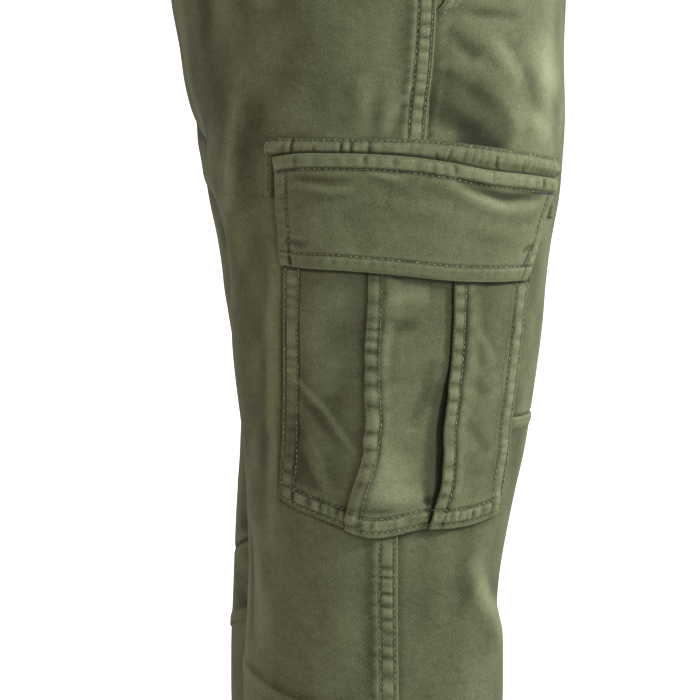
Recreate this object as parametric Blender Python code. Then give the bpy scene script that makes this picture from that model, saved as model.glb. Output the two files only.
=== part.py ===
"""Cargo pants in olive cotton twill, worn and hollow, with nobody in them.

The frame: +Z up, the wearer faces -Y, and the wearer's right hand is at -X.
The origin is the centre of the waist, level with the top of the waistband.

Each leg is a tube. Its sections are worked out from the SECTIONS table, and its
outer skin is addressed by two lengths: the height z, and the distance s round
the leg from the outseam (positive to the front, negative to the back). Panels
end at seams that are lines in (s, z), and whatever is sewn on a panel is made
from the same skin, moved out.
"""

import math
from collections import namedtuple

import bmesh
import bpy
import numpy as np
from mathutils import Matrix, Vector

# ---------------------------------------------------------------- driving sizes

HEM_DEPTH = 1.040  # waistband top to hem
HEM_TURN = 0.022  # the hem is turned in by this much
CROTCH_DEPTH = 0.2885  # waistband top to where the four leg seams meet
CLOTH = 0.0015  # wall of a panel
BAG_CLOTH = 0.0010  # wall of each layer of the pocket bag, and of the strip
FLAP_CLOTH = 0.0022  # the flap is two layers, turned
SEAM_GAP = 0.0003  # between neighbouring pieces
FACET_ROOM = 0.0004  # where the faces of a panel are flatter than what lies across them
LAY = CLOTH / 2 + SEAM_GAP + FACET_ROOM  # from a panel's middle to the underside of what lies on it
SECTION_FULLNESS = 2.2  # exponent of a section's curve: 2 is an ellipse

COLUMN = 0.0215  # between the upright lines of a panel's grid
UPRIGHT_COLUMNS = 7  # of them, before the columns run evenly to the inner edge
INNER_COLUMNS = 5
UPPER_ROW = 0.028  # between the rows of a panel's grid, above the knee
LOWER_ROW = 0.045  # and below it
CROTCH_ROWS = (0.060, 0.040, 0.025, 0.014, 0.006, 0.001, -0.008, -0.022)  # above and below the crotch

KNEE_SEAM_DEPTH = 0.433  # seam across the front, above the knee
BACK_SEAM_DEPTH = 0.604  # seam behind the knee, at the middle of the back
BACK_SEAM_TILT = 0.28  # how steeply it falls towards the outseam
BACK_SEAM_REACH_UP = 0.16  # the rows above it lean with it, less and less, over this height
BACK_SEAM_REACH_DOWN = 0.25  # and the rows below it over this one
BACK_MIDDLE = -0.133  # the middle of the back, as a distance from the outseam

WAISTBAND_HEIGHT = 0.040
PANEL_TOP = -WAISTBAND_HEIGHT - SEAM_GAP / 2  # level of the panels' upper edges
WAISTBAND_CLOTH = 0.0024
WAISTBAND_UNDERLAP = 0.034  # right end, under the left one
WAISTBAND_OVERLAP = 0.006  # left end, past the centre front
LAP_RAMP = 0.022  # width over which the ends step apart, to lie one over the other
FLY_WIDTH = 0.034
FLY_LENGTH = 0.150
FLY_EDGE = 0.006  # fold of the left front, past the centre front
FLY_STRAIGHT = 0.72  # share of its length that is straight, before the curve to its tip
FLY_TIP = 0.004  # width left at the tip
BUTTON_RADIUS = 0.0085
BUTTON_THICKNESS = 0.0026
BUTTON_X = 0.012
BUTTON_RIM = 0.0018
BUTTON_DISH = 0.0007  # depth of its middle below the rim
LOOP_WIDTH = 0.010
LOOP_PLACES = (0.098, -0.105)  # from each outseam, besides the one at the centre back
LOOP_LENGTH = 0.053
LOOP_CLOTH = 0.0014
LOOP_RISE = 0.0028  # room for the belt, in a loop that lies flat
LOOP_BELOW_BAND = 0.047  # from here down, the loop lies on the panel

MOUTH_TOP = 0.062  # slant pocket: its upper end, in front of the outseam
MOUTH_FOOT = 0.005  # its lower end, in front of the outseam
MOUTH_DEPTH = 0.168  # waistband top to its lower end
FACING_ROOM = 0.0009  # the facing is flatter than the front over it, by as much as this
MOUTH_LAP = 0.012  # the facing runs on by this much, under the back and below the slant

STRIP_TOP = 0.252  # waistband top to the top of the cargo strip, at the outseam
STRIP_HEIGHT = 0.038
STRIP_BACK = -0.103
STRIP_FRONT = 0.111
CARGO_FALL = 0.14  # in front of the outseam, the cargo pocket's lines drop by this slope
CARGO_BEND = 0.02  # and turn into it over about this width
FLAP_BELOW_STRIP_TOP = 0.0105
FLAP_HEIGHT = 0.071
FLAP_COLUMNS = 18
FLAP_BACK_TOP = -0.0965
FLAP_BACK_FOOT = -0.0860
FLAP_FRONT_TOP = 0.1025
FLAP_FRONT_FOOT = 0.0785
FLAP_STAND = 0.0026  # how far the pleats push the flap's lower edge out
FLAP_END_SHARE = 0.15  # of its width, at each end, over which it comes down to the leg
FLAP_RISE_SHARE = 0.6  # of its height, over which it rises from the strip to the pleats
POCKET_TOP = 0.320
POCKET_SWELL = 0.0012  # the bag stands off the leg between its seams
PLEAT_UNDERLAY = 0.011
PLEAT_FALL = 0.014  # past the underlay, the top layer comes down to the leg over this width
PLEAT_SHARES = (0.0, 0.35, 0.7, 1.0)  # points across each flat between two pleats
POCKET_LEVELS = 13

# --------------------------------------------------------------------- tables

# One row for each level of a leg, in metres. middle, outer and inner are
# distances from the garment's middle plane to the tube's centre, its outermost
# and its innermost point (inner < 0 lies past the plane, and is cut off there).
# fore and aft are how far the tube reaches in front of and behind the origin,
# and seam is how far the outseam lies in front of it.
Section = namedtuple("Section", "z middle outer inner fore aft seam")
SECTIONS = [
    Section(z=0.010, middle=0.000, outer=0.145, inner=-0.145, fore=0.103, aft=0.107, seam=0.012),
    Section(z=-0.040, middle=0.005, outer=0.152, inner=-0.140, fore=0.108, aft=0.116, seam=0.014),
    Section(z=-0.100, middle=0.022, outer=0.168, inner=-0.116, fore=0.114, aft=0.134, seam=0.018),
    Section(z=-0.166, middle=0.048, outer=0.179, inner=-0.082, fore=0.116, aft=0.139, seam=0.021),
    Section(z=-0.200, middle=0.062, outer=0.183, inner=-0.058, fore=0.114, aft=0.133, seam=0.019),
    Section(z=-0.250, middle=0.083, outer=0.187, inner=-0.022, fore=0.112, aft=0.125, seam=0.014),
    Section(z=-0.289, middle=0.094, outer=0.189, inner=0.000, fore=0.108, aft=0.115, seam=0.011),
    Section(z=-0.330, middle=0.097, outer=0.188, inner=0.008, fore=0.101, aft=0.106, seam=0.007),
    Section(z=-0.390, middle=0.098, outer=0.185, inner=0.013, fore=0.094, aft=0.104, seam=0.003),
    Section(z=-0.460, middle=0.100, outer=0.180, inner=0.019, fore=0.084, aft=0.097, seam=-0.002),
    Section(z=-0.530, middle=0.101, outer=0.175, inner=0.024, fore=0.071, aft=0.094, seam=-0.003),
    Section(z=-0.620, middle=0.102, outer=0.171, inner=0.028, fore=0.072, aft=0.096, seam=-0.002),
    Section(z=-0.800, middle=0.104, outer=0.169, inner=0.036, fore=0.056, aft=0.096, seam=-0.008),
    Section(z=-0.940, middle=0.106, outer=0.168, inner=0.042, fore=0.042, aft=0.098, seam=-0.018),
    Section(z=-1.050, middle=0.107, outer=0.168, inner=0.045, fore=0.038, aft=0.100, seam=-0.022),
]

# The left leg stands a little ahead of the right one, in metres.
Stance = namedtuple("Stance", "z ahead")
LEFT_STANCE = [
    Stance(z=0.010, ahead=0.000),
    Stance(z=-0.270, ahead=0.000),
    Stance(z=-0.300, ahead=0.000),
    Stance(z=-0.360, ahead=0.004),
    Stance(z=-0.430, ahead=0.009),
    Stance(z=-0.480, ahead=0.006),
    Stance(z=-0.530, ahead=0.001),
    Stance(z=-0.580, ahead=0.000),
    Stance(z=-0.620, ahead=0.000),
    Stance(z=-1.050, ahead=0.000),
]

# The largest folds of a leg: each runs from one (s, z) to another, is high in
# its middle and fades out at both ends. A trough has a negative height.
Fold = namedtuple("Fold", "s_top z_top s_foot z_foot half_width height")
FOLDS = [
    Fold(s_top=-0.130, z_top=-0.212, s_foot=-0.150, z_foot=-0.380, half_width=0.014, height=0.003),
    Fold(s_top=-0.114, z_top=-0.270, s_foot=-0.108, z_foot=-0.480, half_width=0.012, height=-0.004),
    Fold(s_top=-0.115, z_top=-0.500, s_foot=-0.088, z_foot=-0.640, half_width=0.020, height=-0.003),
    Fold(s_top=0.006, z_top=-0.197, s_foot=0.112, z_foot=-0.236, half_width=0.011, height=0.0035),
    Fold(s_top=0.002, z_top=-0.211, s_foot=0.092, z_foot=-0.246, half_width=0.010, height=-0.003),
    Fold(s_top=0.053, z_top=-0.530, s_foot=0.142, z_foot=-0.590, half_width=0.020, height=-0.003),
    Fold(s_top=0.270, z_top=-0.330, s_foot=0.150, z_foot=-0.250, half_width=0.018, height=-0.004),
    Fold(s_top=-0.270, z_top=-0.330, s_foot=-0.185, z_foot=-0.235, half_width=0.018, height=-0.005),
    Fold(s_top=0.130, z_top=-0.880, s_foot=0.010, z_foot=-0.930, half_width=0.020, height=0.004),
    Fold(s_top=-0.150, z_top=-0.850, s_foot=-0.020, z_foot=-0.900, half_width=0.020, height=-0.004),
    Fold(s_top=0.200, z_top=-0.950, s_foot=0.060, z_foot=-0.985, half_width=0.018, height=-0.004),
    Fold(s_top=-0.200, z_top=-0.960, s_foot=-0.050, z_foot=-0.980, half_width=0.018, height=0.003),
]
FOLD_FADE = 0.7  # power of the sine that fades a fold out towards its ends

# Where the cargo pocket's edges and the folded edges of its pleats lie at each
# level, as distances from the outseam.
PocketRow = namedtuple("PocketRow", "z back pleat_1 pleat_2 front")
POCKET_ROWS = [
    PocketRow(z=-0.320, back=-0.0860, pleat_1=-0.0290, pleat_2=0.0240, front=0.0860),
    PocketRow(z=-0.360, back=-0.0840, pleat_1=-0.0280, pleat_2=0.0255, front=0.0845),
    PocketRow(z=-0.400, back=-0.0815, pleat_1=-0.0265, pleat_2=0.0260, front=0.0825),
    PocketRow(z=-0.436, back=-0.0795, pleat_1=-0.0225, pleat_2=0.0240, front=0.0805),
    PocketRow(z=-0.458, back=-0.0788, pleat_1=-0.0245, pleat_2=0.0250, front=0.0805),
    PocketRow(z=-0.480, back=-0.0793, pleat_1=-0.0315, pleat_2=0.0240, front=0.0775),
    PocketRow(z=-0.505, back=-0.0795, pleat_1=-0.0355, pleat_2=0.0185, front=0.0765),
]

# The pocket's lower edge, from back to front.
Edge = namedtuple("Edge", "s z")
POCKET_FOOT = [
    Edge(s=-0.0795, z=-0.4825),
    Edge(s=-0.0475, z=-0.4945),
    Edge(s=-0.0180, z=-0.5050),
    Edge(s=0.0180, z=-0.5005),
    Edge(s=0.0460, z=-0.4995),
    Edge(s=0.0780, z=-0.4940),
]

# A belt loop where it lies on the band: at each level, its share of LOOP_RISE.
LoopRow = namedtuple("LoopRow", "z rise")
LOOP_ROWS = [
    LoopRow(z=-0.001, rise=0.0),
    LoopRow(z=-0.007, rise=0.1),
    LoopRow(z=-0.014, rise=0.7),
    LoopRow(z=-0.021, rise=1.0),
    LoopRow(z=-0.029, rise=0.8),
    LoopRow(z=-0.037, rise=0.25),
    LoopRow(z=-0.0425, rise=0.05),
]

# ------------------------------------------------------------------ the leg's skin


def smooth(rows, key, column, where):
    """A column of a table at any place, on a smooth curve through its rows."""
    x = np.array([getattr(row, key) for row in rows])
    y = np.array([getattr(row, column) for row in rows])
    if x[0] > x[-1]:
        x, y = x[::-1], y[::-1]
    step = np.diff(x)
    slope = np.diff(y) / step
    tangent = np.concatenate([slope[:1], np.zeros(len(x) - 2), slope[-1:]])
    tangent[1:-1] = (slope[1:] * step[:-1] + slope[:-1] * step[1:]) / (x[2:] - x[:-2])
    where = np.clip(where, x[0], x[-1])
    k = np.clip(np.searchsorted(x, where) - 1, 0, len(x) - 2)
    t = (where - x[k]) / step[k]
    start = (2 * t**3 - 3 * t**2 + 1) * y[k] + (t**3 - 2 * t**2 + t) * step[k] * tangent[k]
    end = (3 * t**2 - 2 * t**3) * y[k + 1] + (t**3 - t**2) * step[k] * tangent[k + 1]
    return start + end


def section_point(z, angle):
    """The outer skin at an angle: 0 is outermost, +pi/2 the front, +-pi innermost."""
    middle, outer, inner, fore, aft = (smooth(SECTIONS, "z", name, z) for name in Section._fields[1:6])
    across = np.sign(np.cos(angle)) * np.abs(np.cos(angle)) ** (2 / SECTION_FULLNESS)
    along = np.sign(np.sin(angle)) * np.abs(np.sin(angle)) ** (2 / SECTION_FULLNESS)
    out = middle + across * np.where(across > 0, outer - middle, middle - inner)
    y = (aft - fore) / 2 - along * (aft + fore) / 2
    return out, y


# Angles measured once against distance from the outseam, on a grid of levels.
LEVEL_STEP = 0.005
DISTANCE_STEP = 0.002
FARTHEST = 0.500
LEVELS = np.arange(-1.050, 0.0101, LEVEL_STEP)
DISTANCES = np.arange(-FARTHEST, FARTHEST + DISTANCE_STEP / 2, DISTANCE_STEP)
RING_ANGLES = np.linspace(-math.pi, math.pi, 721)


def measure_rings():
    """For each level: the angle at each distance, and both ends of the ring."""
    angles = np.empty((len(LEVELS), len(DISTANCES)))
    ends = np.empty((len(LEVELS), 2))
    for i, z in enumerate(LEVELS):
        out, y = section_point(np.full_like(RING_ANGLES, z), RING_ANGLES)
        length = np.concatenate([[0.0], np.cumsum(np.hypot(np.diff(out), np.diff(y)))])
        near_side = np.abs(RING_ANGLES) < 1.0
        seam_y = -smooth(SECTIONS, "z", "seam", z)
        order = np.argsort(y[near_side])
        length -= np.interp(seam_y, y[near_side][order], length[near_side][order])
        angles[i] = np.interp(DISTANCES, length, RING_ANGLES)
        ends[i] = length[0], length[-1]
    return angles, ends


ANGLE_GRID, RING_ENDS = measure_rings()


def base_point(z, s):
    """The unfolded skin of a leg at height z and distance s, as (out, y, z)."""
    i = np.clip((z - LEVELS[0]) / LEVEL_STEP, 0, len(LEVELS) - 1.001)
    j = np.clip((s - DISTANCES[0]) / DISTANCE_STEP, 0, len(DISTANCES) - 1.001)
    i0, j0 = i.astype(int), j.astype(int)
    u, v = i - i0, j - j0
    low = ANGLE_GRID[i0, j0] * (1 - v) + ANGLE_GRID[i0, j0 + 1] * v
    high = ANGLE_GRID[i0 + 1, j0] * (1 - v) + ANGLE_GRID[i0 + 1, j0 + 1] * v
    out, y = section_point(z, low * (1 - u) + high * u)
    return np.stack([out, y, z], axis=-1)


NORMAL_STEP = 0.0015


def skin_normal(z, s):
    s = np.clip(s, ring_end(z, False) + NORMAL_STEP, ring_end(z, True) - NORMAL_STEP)
    along = base_point(z, s + NORMAL_STEP) - base_point(z, s - NORMAL_STEP)
    up = base_point(z + NORMAL_STEP, s) - base_point(z - NORMAL_STEP, s)
    normal = np.cross(up, along)
    return normal / np.linalg.norm(normal, axis=-1, keepdims=True)


def fold_height(z, s):
    height = np.zeros_like(z)
    for fold in FOLDS:
        run = np.array([fold.s_foot - fold.s_top, fold.z_foot - fold.z_top])
        length = np.linalg.norm(run)
        run /= length
        along = (s - fold.s_top) * run[0] + (z - fold.z_top) * run[1]
        across = (s - fold.s_top) * run[1] - (z - fold.z_top) * run[0]
        fade = np.sin(np.clip(along / length, 0, 1) * math.pi) ** FOLD_FADE
        height += fold.height * fade * np.exp(-((across / fold.half_width) ** 2))
    return height


def skin(z, s, lift=0.0):
    """Points and normals of a leg's cloth, moved out from its middle by lift."""
    z, s, lift = np.broadcast_arrays(np.asarray(z, float), np.asarray(s, float), lift)
    normal = skin_normal(z, s)
    point = base_point(z, s) + normal * (fold_height(z, s) + lift)[..., None]
    return point, normal


def ring_end(z, front):
    """The inseam, as a distance from the outseam."""
    return np.interp(z, LEVELS, RING_ENDS[:, 1 if front else 0])


def inner_edge(z, front):
    """A panel's inner edge: the centre seam above the crotch, the inseam below it."""
    far = float(ring_end(z, front))
    s = np.linspace(0.1 * far, far, 200)
    point, normal = skin(np.full_like(s, z), s)
    room = point[:, 0] + normal[:, 0] * CLOTH / 2 - SEAM_GAP / 2
    inside = np.flatnonzero(room < 0)
    edge = far - math.copysign(SEAM_GAP / 2, far)
    if z > -CROTCH_DEPTH and len(inside):
        k = inside[0]
        t = room[k - 1] / (room[k - 1] - room[k])
        crossing = s[k - 1] + t * (s[k] - s[k - 1])
        edge = min(edge, crossing, key=abs)
    return edge


# --------------------------------------------------------------------- making cloth


def material(name, colour, roughness, metallic=0.0):
    made = bpy.data.materials.new(name)
    made.use_nodes = True
    shader = made.node_tree.nodes["Principled BSDF"]
    shader.inputs["Base Color"].default_value = (*colour, 1.0)
    shader.inputs["Roughness"].default_value = roughness
    shader.inputs["Metallic"].default_value = metallic
    return made


def add_object(name, mesh, made_of):
    mesh.materials.append(made_of)
    added = bpy.data.objects.new(name, mesh)
    bpy.context.scene.collection.objects.link(added)
    return added


def cloth(name, middle, normal, thickness, made_of):
    """A wall: a grid of points, thickened by half to each side and closed round its rim."""
    rows, columns = middle.shape[:2]
    sheet = bmesh.new()
    sides = []
    for sign in (1, -1):
        points = middle + normal * (sign * thickness / 2)
        sides.append([[sheet.verts.new(point) for point in row] for row in points])
    outer, inner = sides
    for i in range(rows - 1):
        for j in range(columns - 1):
            corners = ((i, j), (i, j + 1), (i + 1, j + 1), (i + 1, j))
            sheet.faces.new([outer[a][b] for a, b in corners])
            sheet.faces.new([inner[a][b] for a, b in reversed(corners)])
    rim = [(0, j) for j in range(columns)] + [(i, columns - 1) for i in range(1, rows)]
    rim += [(rows - 1, j) for j in range(columns - 2, -1, -1)] + [(i, 0) for i in range(rows - 2, 0, -1)]
    for (a, b), (c, d) in zip(rim, rim[1:] + rim[:1]):
        sheet.faces.new([outer[c][d], outer[a][b], inner[a][b], inner[c][d]])
    bmesh.ops.recalc_face_normals(sheet, faces=sheet.faces)
    mesh = bpy.data.meshes.new(name)
    sheet.to_mesh(mesh)
    sheet.free()
    mesh.shade_smooth()
    mesh.set_sharp_from_angle(angle=math.radians(40))
    return add_object(name, mesh, made_of)


SIDES = {"right": -1, "left": 1}


def placed(side, point, normal):
    """Turns (out, y, z) of a leg into world points of the right or the left leg."""
    turn = np.array([SIDES[side], 1.0, 1.0])
    point, normal = point * turn, normal * turn
    if side == "left":
        point[..., 1] -= smooth(LEFT_STANCE, "z", "ahead", point[..., 2])
    return point, normal


# ------------------------------------------------------------------------ panels


def back_seam_shift(z, s):
    """Rows of the back panels lean by the slope of the seam behind the knee, fading away from it."""
    shift = -BACK_SEAM_TILT * (s - BACK_MIDDLE)
    reach = np.where(z > -BACK_SEAM_DEPTH, BACK_SEAM_REACH_UP, BACK_SEAM_REACH_DOWN)
    return shift * np.clip(1 - np.abs(z + BACK_SEAM_DEPTH) / reach, 0, 1)


def levels_between(top, foot, step=UPPER_ROW):
    """Levels of a panel's rows, closer together near the crotch."""
    crotch_rows = -CROTCH_DEPTH + np.array(CROTCH_ROWS)
    if not foot < -CROTCH_DEPTH < top:
        return np.linspace(top, foot, 1 + round((top - foot) / step))
    above = np.linspace(top, crotch_rows[0], 1 + round((top - crotch_rows[0]) / step))
    below = np.linspace(crotch_rows[-1], foot, 1 + round((crotch_rows[-1] - foot) / step))
    return np.concatenate([above, crotch_rows[1:-1], below])


def turned_hem():
    """(z, lift) of the rows that turn the hem in."""
    radius = (CLOTH + SEAM_GAP) / 2
    start = -HEM_DEPTH + CLOTH / 2 + radius
    bend = [
        (start - radius * math.sin(turn), -radius * (1 - math.cos(turn)))
        for turn in np.linspace(0, math.pi, 4)
    ]
    return bend + [(-HEM_DEPTH + HEM_TURN, -2 * radius)]


def panel_columns(start, end):
    """Columns of a panel: upright lines a constant distance apart, then evenly to its inner edge."""
    outer = math.copysign(COLUMN * UPRIGHT_COLUMNS, end)
    upright = np.linspace(start, outer, UPRIGHT_COLUMNS + 1)
    return np.concatenate([upright, np.linspace(outer, end, INNER_COLUMNS + 1)[1:]])


def panel(name, side, front, levels, start, made_of, hem=False):
    """A panel of one leg, from its outer edge start(z) to its inseam or centre seam."""
    rows = [(z, 0.0) for z in levels]
    if hem:
        # The rows of the turn take the place of the last level, which is the hem's own.
        rows = rows[:-1] + turned_hem()
    s = np.array([panel_columns(start(level), inner_edge(level, front)) for level, _ in rows])
    z, lift = (np.repeat(np.array(column)[:, None], s.shape[1], axis=1) for column in zip(*rows))
    if not front:
        z = z + back_seam_shift(z, s)
    point, normal = placed(side, *skin(z, s, lift))
    return cloth(name, point, normal, CLOTH, made_of)


def mouth_edge(z):
    """The front panel's outer edge: the outseam, cut away along the slant pocket."""
    foot = -MOUTH_DEPTH
    if z < foot - MOUTH_FOOT:
        return SEAM_GAP / 2
    if z < foot:
        return SEAM_GAP / 2 + (z - foot + MOUTH_FOOT)
    share = (z - foot) / (MOUTH_DEPTH - WAISTBAND_HEIGHT)
    return MOUTH_FOOT + share * (MOUTH_TOP - MOUTH_FOOT)


def upper_front_levels():
    """The rows of an upper front, with two of them where its slant edge turns."""
    levels = levels_between(PANEL_TOP, -KNEE_SEAM_DEPTH + SEAM_GAP / 2)
    return np.sort(np.append(levels, [-MOUTH_DEPTH, -MOUTH_DEPTH - MOUTH_FOOT]))[::-1]


def leg_panels(side, twill):
    top = PANEL_TOP
    hem = -HEM_DEPTH
    knee = -KNEE_SEAM_DEPTH
    behind = -BACK_SEAM_DEPTH
    gap = SEAM_GAP / 2
    panel(f"front_upper_{side}", side, True, upper_front_levels(), mouth_edge, twill)
    levels = levels_between(knee - gap, hem, LOWER_ROW)
    panel(f"front_lower_{side}", side, True, levels, lambda z: gap, twill, hem=True)
    levels = levels_between(top, behind + gap)
    panel(f"back_upper_{side}", side, False, levels, lambda z: -gap, twill)
    levels = levels_between(behind - gap, hem, LOWER_ROW)
    panel(f"back_lower_{side}", side, False, levels, lambda z: -gap, twill, hem=True)


def hip_facing(side, twill):
    """What shows in the slant of the front pocket: cloth just under the front, parallel to its faces."""
    foot = -MOUTH_DEPTH - MOUTH_FOOT - MOUTH_LAP
    levels = [z for z in upper_front_levels() if z > foot + SEAM_GAP] + [foot]
    s = []
    for z in levels:
        mouth = mouth_edge(z)
        first_column = panel_columns(mouth, inner_edge(z, True))[1]
        s.append(np.append(np.linspace(-MOUTH_LAP, mouth, 5), first_column))
    s = np.array(s)
    z = np.repeat(np.array(levels)[:, None], s.shape[1], axis=1)
    point, normal = placed(side, *skin(z, s, -CLOTH - SEAM_GAP - FACING_ROOM))
    cloth(f"hip_facing_{side}", point, normal, CLOTH, twill)


# ------------------------------------------------------------------- cargo pocket


def cargo_line(depth, s):
    """A level line of the cargo pocket: it drops in front of the outseam."""
    return -depth - CARGO_FALL * (s + np.hypot(s, CARGO_BEND)) / 2


def columns_under(back, front):
    """The panels' upright lines between two distances, for what is sewn across them.

    A line less than a third of a column from either end is left out.
    """
    first, last = math.ceil(back / COLUMN + 1 / 3), math.floor(front / COLUMN - 1 / 3)
    return COLUMN * np.arange(first, last + 1)


def cargo_strip(side, twill):
    s = np.concatenate([[STRIP_BACK], columns_under(STRIP_BACK, STRIP_FRONT), [STRIP_FRONT]])
    s, down = np.meshgrid(s, np.linspace(0, STRIP_HEIGHT, 3))
    point, normal = placed(side, *skin(cargo_line(STRIP_TOP, s) - down, s, LAY + BAG_CLOTH / 2))
    cloth(f"cargo_strip_{side}", point, normal, BAG_CLOTH, twill)


def cargo_flap(side, twill):
    """The flap lies on the strip, and its lower half on the pocket's pleats."""
    down = np.linspace(0, 1, 6)
    back = FLAP_BACK_TOP + down * (FLAP_BACK_FOOT - FLAP_BACK_TOP)
    front = FLAP_FRONT_TOP + down * (FLAP_FRONT_FOOT - FLAP_FRONT_TOP)
    across, down = np.meshgrid(np.linspace(0, 1, FLAP_COLUMNS + 1), down)
    s = back[:, None] + across * (front - back)[:, None]
    z = cargo_line(STRIP_TOP + FLAP_BELOW_STRIP_TOP, s) - FLAP_HEIGHT * down
    rest = LAY + BAG_CLOTH + SEAM_GAP + FACET_ROOM + FLAP_CLOTH / 2
    plateau = np.clip(np.minimum(across, 1 - across) / FLAP_END_SHARE, 0, 1)
    rise = np.clip(down / FLAP_RISE_SHARE, 0, 1)
    lift = rest + FLAP_STAND * smoothstep(plateau) * smoothstep(rise)
    point, normal = placed(side, *skin(z, s, lift))
    cloth(f"cargo_flap_{side}", point, normal, FLAP_CLOTH, twill)


def smoothstep(t):
    return t * t * (3 - 2 * t)


def pleated_row(row):
    """One level of the pocket, as (s, lift) points that fold back on themselves at each pleat."""
    base = LAY + BAG_CLOTH / 2
    radius = (BAG_CLOTH + SEAM_GAP) / 2
    top = base + 4 * radius
    bend = np.linspace(-math.pi / 2, math.pi / 2, 4)
    path = []
    start = row["back"]
    for fold in (row["pleat_1"], row["pleat_2"]):
        for share in PLEAT_SHARES:
            swell = POCKET_SWELL * math.sin(math.pi * share) ** 2
            path.append((start + share * (fold - start), base + swell))
        turn = fold + PLEAT_UNDERLAY
        under, over = base + radius, base + 3 * radius
        path += [(turn + radius * math.cos(a), under + radius * math.sin(a)) for a in bend]
        path += [(fold + radius - radius * math.cos(a), over + radius * math.sin(a)) for a in bend]
        path.append((turn, top))
        start = turn + PLEAT_FALL
    for share in PLEAT_SHARES:
        swell = POCKET_SWELL * math.sin(math.pi * share) ** 2
        path.append((start + share * (row["front"] - start), base + swell))
    return np.array(path)


def path_normals(path):
    """Unit normals of a path in (s, lift), to the left of its run."""
    along = np.gradient(path, axis=0)
    along /= np.linalg.norm(along, axis=1, keepdims=True)
    return np.stack([-along[:, 1], along[:, 0]], axis=1)


def cargo_pocket(side, twill):
    """The pocket bag: one wall, with two knife pleats whose folded edges face the back."""
    rows = []
    for share in np.linspace(0, 1, POCKET_LEVELS):
        # The levels at the top follow the cargo lines, and at the foot the lower edge.
        level = -POCKET_TOP + share * (POCKET_TOP + POCKET_ROWS[-1].z)
        row = {name: float(smooth(POCKET_ROWS, "z", name, level)) for name in PocketRow._fields[1:]}
        path = pleated_row(row)
        s, lift = path[:, 0], path[:, 1]
        head = cargo_line(POCKET_TOP, s)
        foot = smooth(POCKET_FOOT, "s", "z", s)
        z = head + share * (foot - head)
        rows.append((z, s, lift, path_normals(path)))
    z, s, lift, turn = (np.array(column) for column in zip(*rows))
    point, out = skin(z, s, lift)
    ahead, _ = skin(z, s + 0.001, lift)
    behind, _ = skin(z, s - 0.001, lift)
    along = ahead - behind
    along /= np.linalg.norm(along, axis=-1, keepdims=True)
    normal = along * turn[..., :1] + out * turn[..., 1:]
    normal /= np.linalg.norm(normal, axis=-1, keepdims=True)
    point, normal = placed(side, point, normal)
    cloth(f"cargo_pocket_{side}", point, normal, BAG_CLOTH, twill)


# ----------------------------------------------------------------------- the waist


def waistband_point(z, along, lift):
    """A point of the band. along runs 0..1 from the centre front round the right side,
    the back and the left side to the centre front again, and past both ends for the laps.
    """
    front, back = inner_edge(z, True), inner_edge(z, False)
    half = front - back
    run = along * 2 * half
    if run < 0:
        side, s = "left", front + run
    elif run < half:
        side, s = "right", front - run
    elif run < 2 * half:
        side, s = "left", back + run - half
    else:
        side, s = "right", front - (run - 2 * half)
    return placed(side, *skin(np.array([z]), np.array([s]), lift))


def waistband(twill):
    """One band. Its left end lies over its right end at the centre front."""
    girth = 2 * (inner_edge(0.0, True) - inner_edge(0.0, False))
    start, end = -WAISTBAND_UNDERLAP / girth, 1 + WAISTBAND_OVERLAP / girth
    along = np.linspace(start, end, 53)
    apart = (WAISTBAND_CLOTH + SEAM_GAP) / 2
    ramp = LAP_RAMP / girth
    under = smoothstep(np.clip(1 - (along - WAISTBAND_OVERLAP / girth) / ramp, 0, 1))
    over = smoothstep(np.clip(1 - (1 - WAISTBAND_UNDERLAP / girth - along) / ramp, 0, 1))
    lift = apart * (over - under)
    rows = [
        [waistband_point(z, share, rise) for share, rise in zip(along, lift)]
        for z in np.linspace(0.0, -WAISTBAND_HEIGHT + SEAM_GAP / 2, 3)
    ]
    point = np.array([[place[0][0] for place in row] for row in rows])
    normal = np.array([[place[1][0] for place in row] for row in rows])
    cloth("waistband", point, normal, WAISTBAND_CLOTH, twill)


def across_front(z, x, lift):
    """Points of the fronts' skin at chosen places across, found on the lifted skin."""
    s = np.linspace(0.45, 1.0, 120) * inner_edge(z, True)
    point, normal = skin(np.full_like(s, z), s, lift)
    out = point[::-1, 0]
    points, normals = [], []
    for place in x:
        there = np.array([np.interp(abs(place), out, point[::-1, k]) for k in range(3)])
        facing = np.array([np.interp(abs(place), out, normal[::-1, k]) for k in range(3)])
        turn = np.array([np.sign(place), 1.0, 1.0])
        there[0] = abs(place)
        points.append(there * turn)
        facing = facing * turn
        normals.append(facing / np.linalg.norm(facing))
    return points, normals


def fly(twill):
    """The left front's fold, lapped over the right front and ending in a curve."""
    top = -WAISTBAND_HEIGHT - 3 * SEAM_GAP
    rows = []
    for share in np.linspace(0, 1, 10):
        past_straight = max(share - FLY_STRAIGHT, 0) / (1 - FLY_STRAIGHT)
        width = max(FLY_WIDTH * math.sqrt(1 - past_straight**2), FLY_TIP)
        x = np.concatenate([[-FLY_EDGE, -FLY_EDGE / 2, 0.0], width * np.array([0.2, 0.5, 0.8, 1.0])])
        rows.append(across_front(top - share * FLY_LENGTH, x, LAY + FACET_ROOM + BAG_CLOTH / 2))
    point, normal = (np.array([row[k] for row in rows]) for k in (0, 1))
    cloth("fly", point, normal, BAG_CLOTH, twill)


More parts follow.
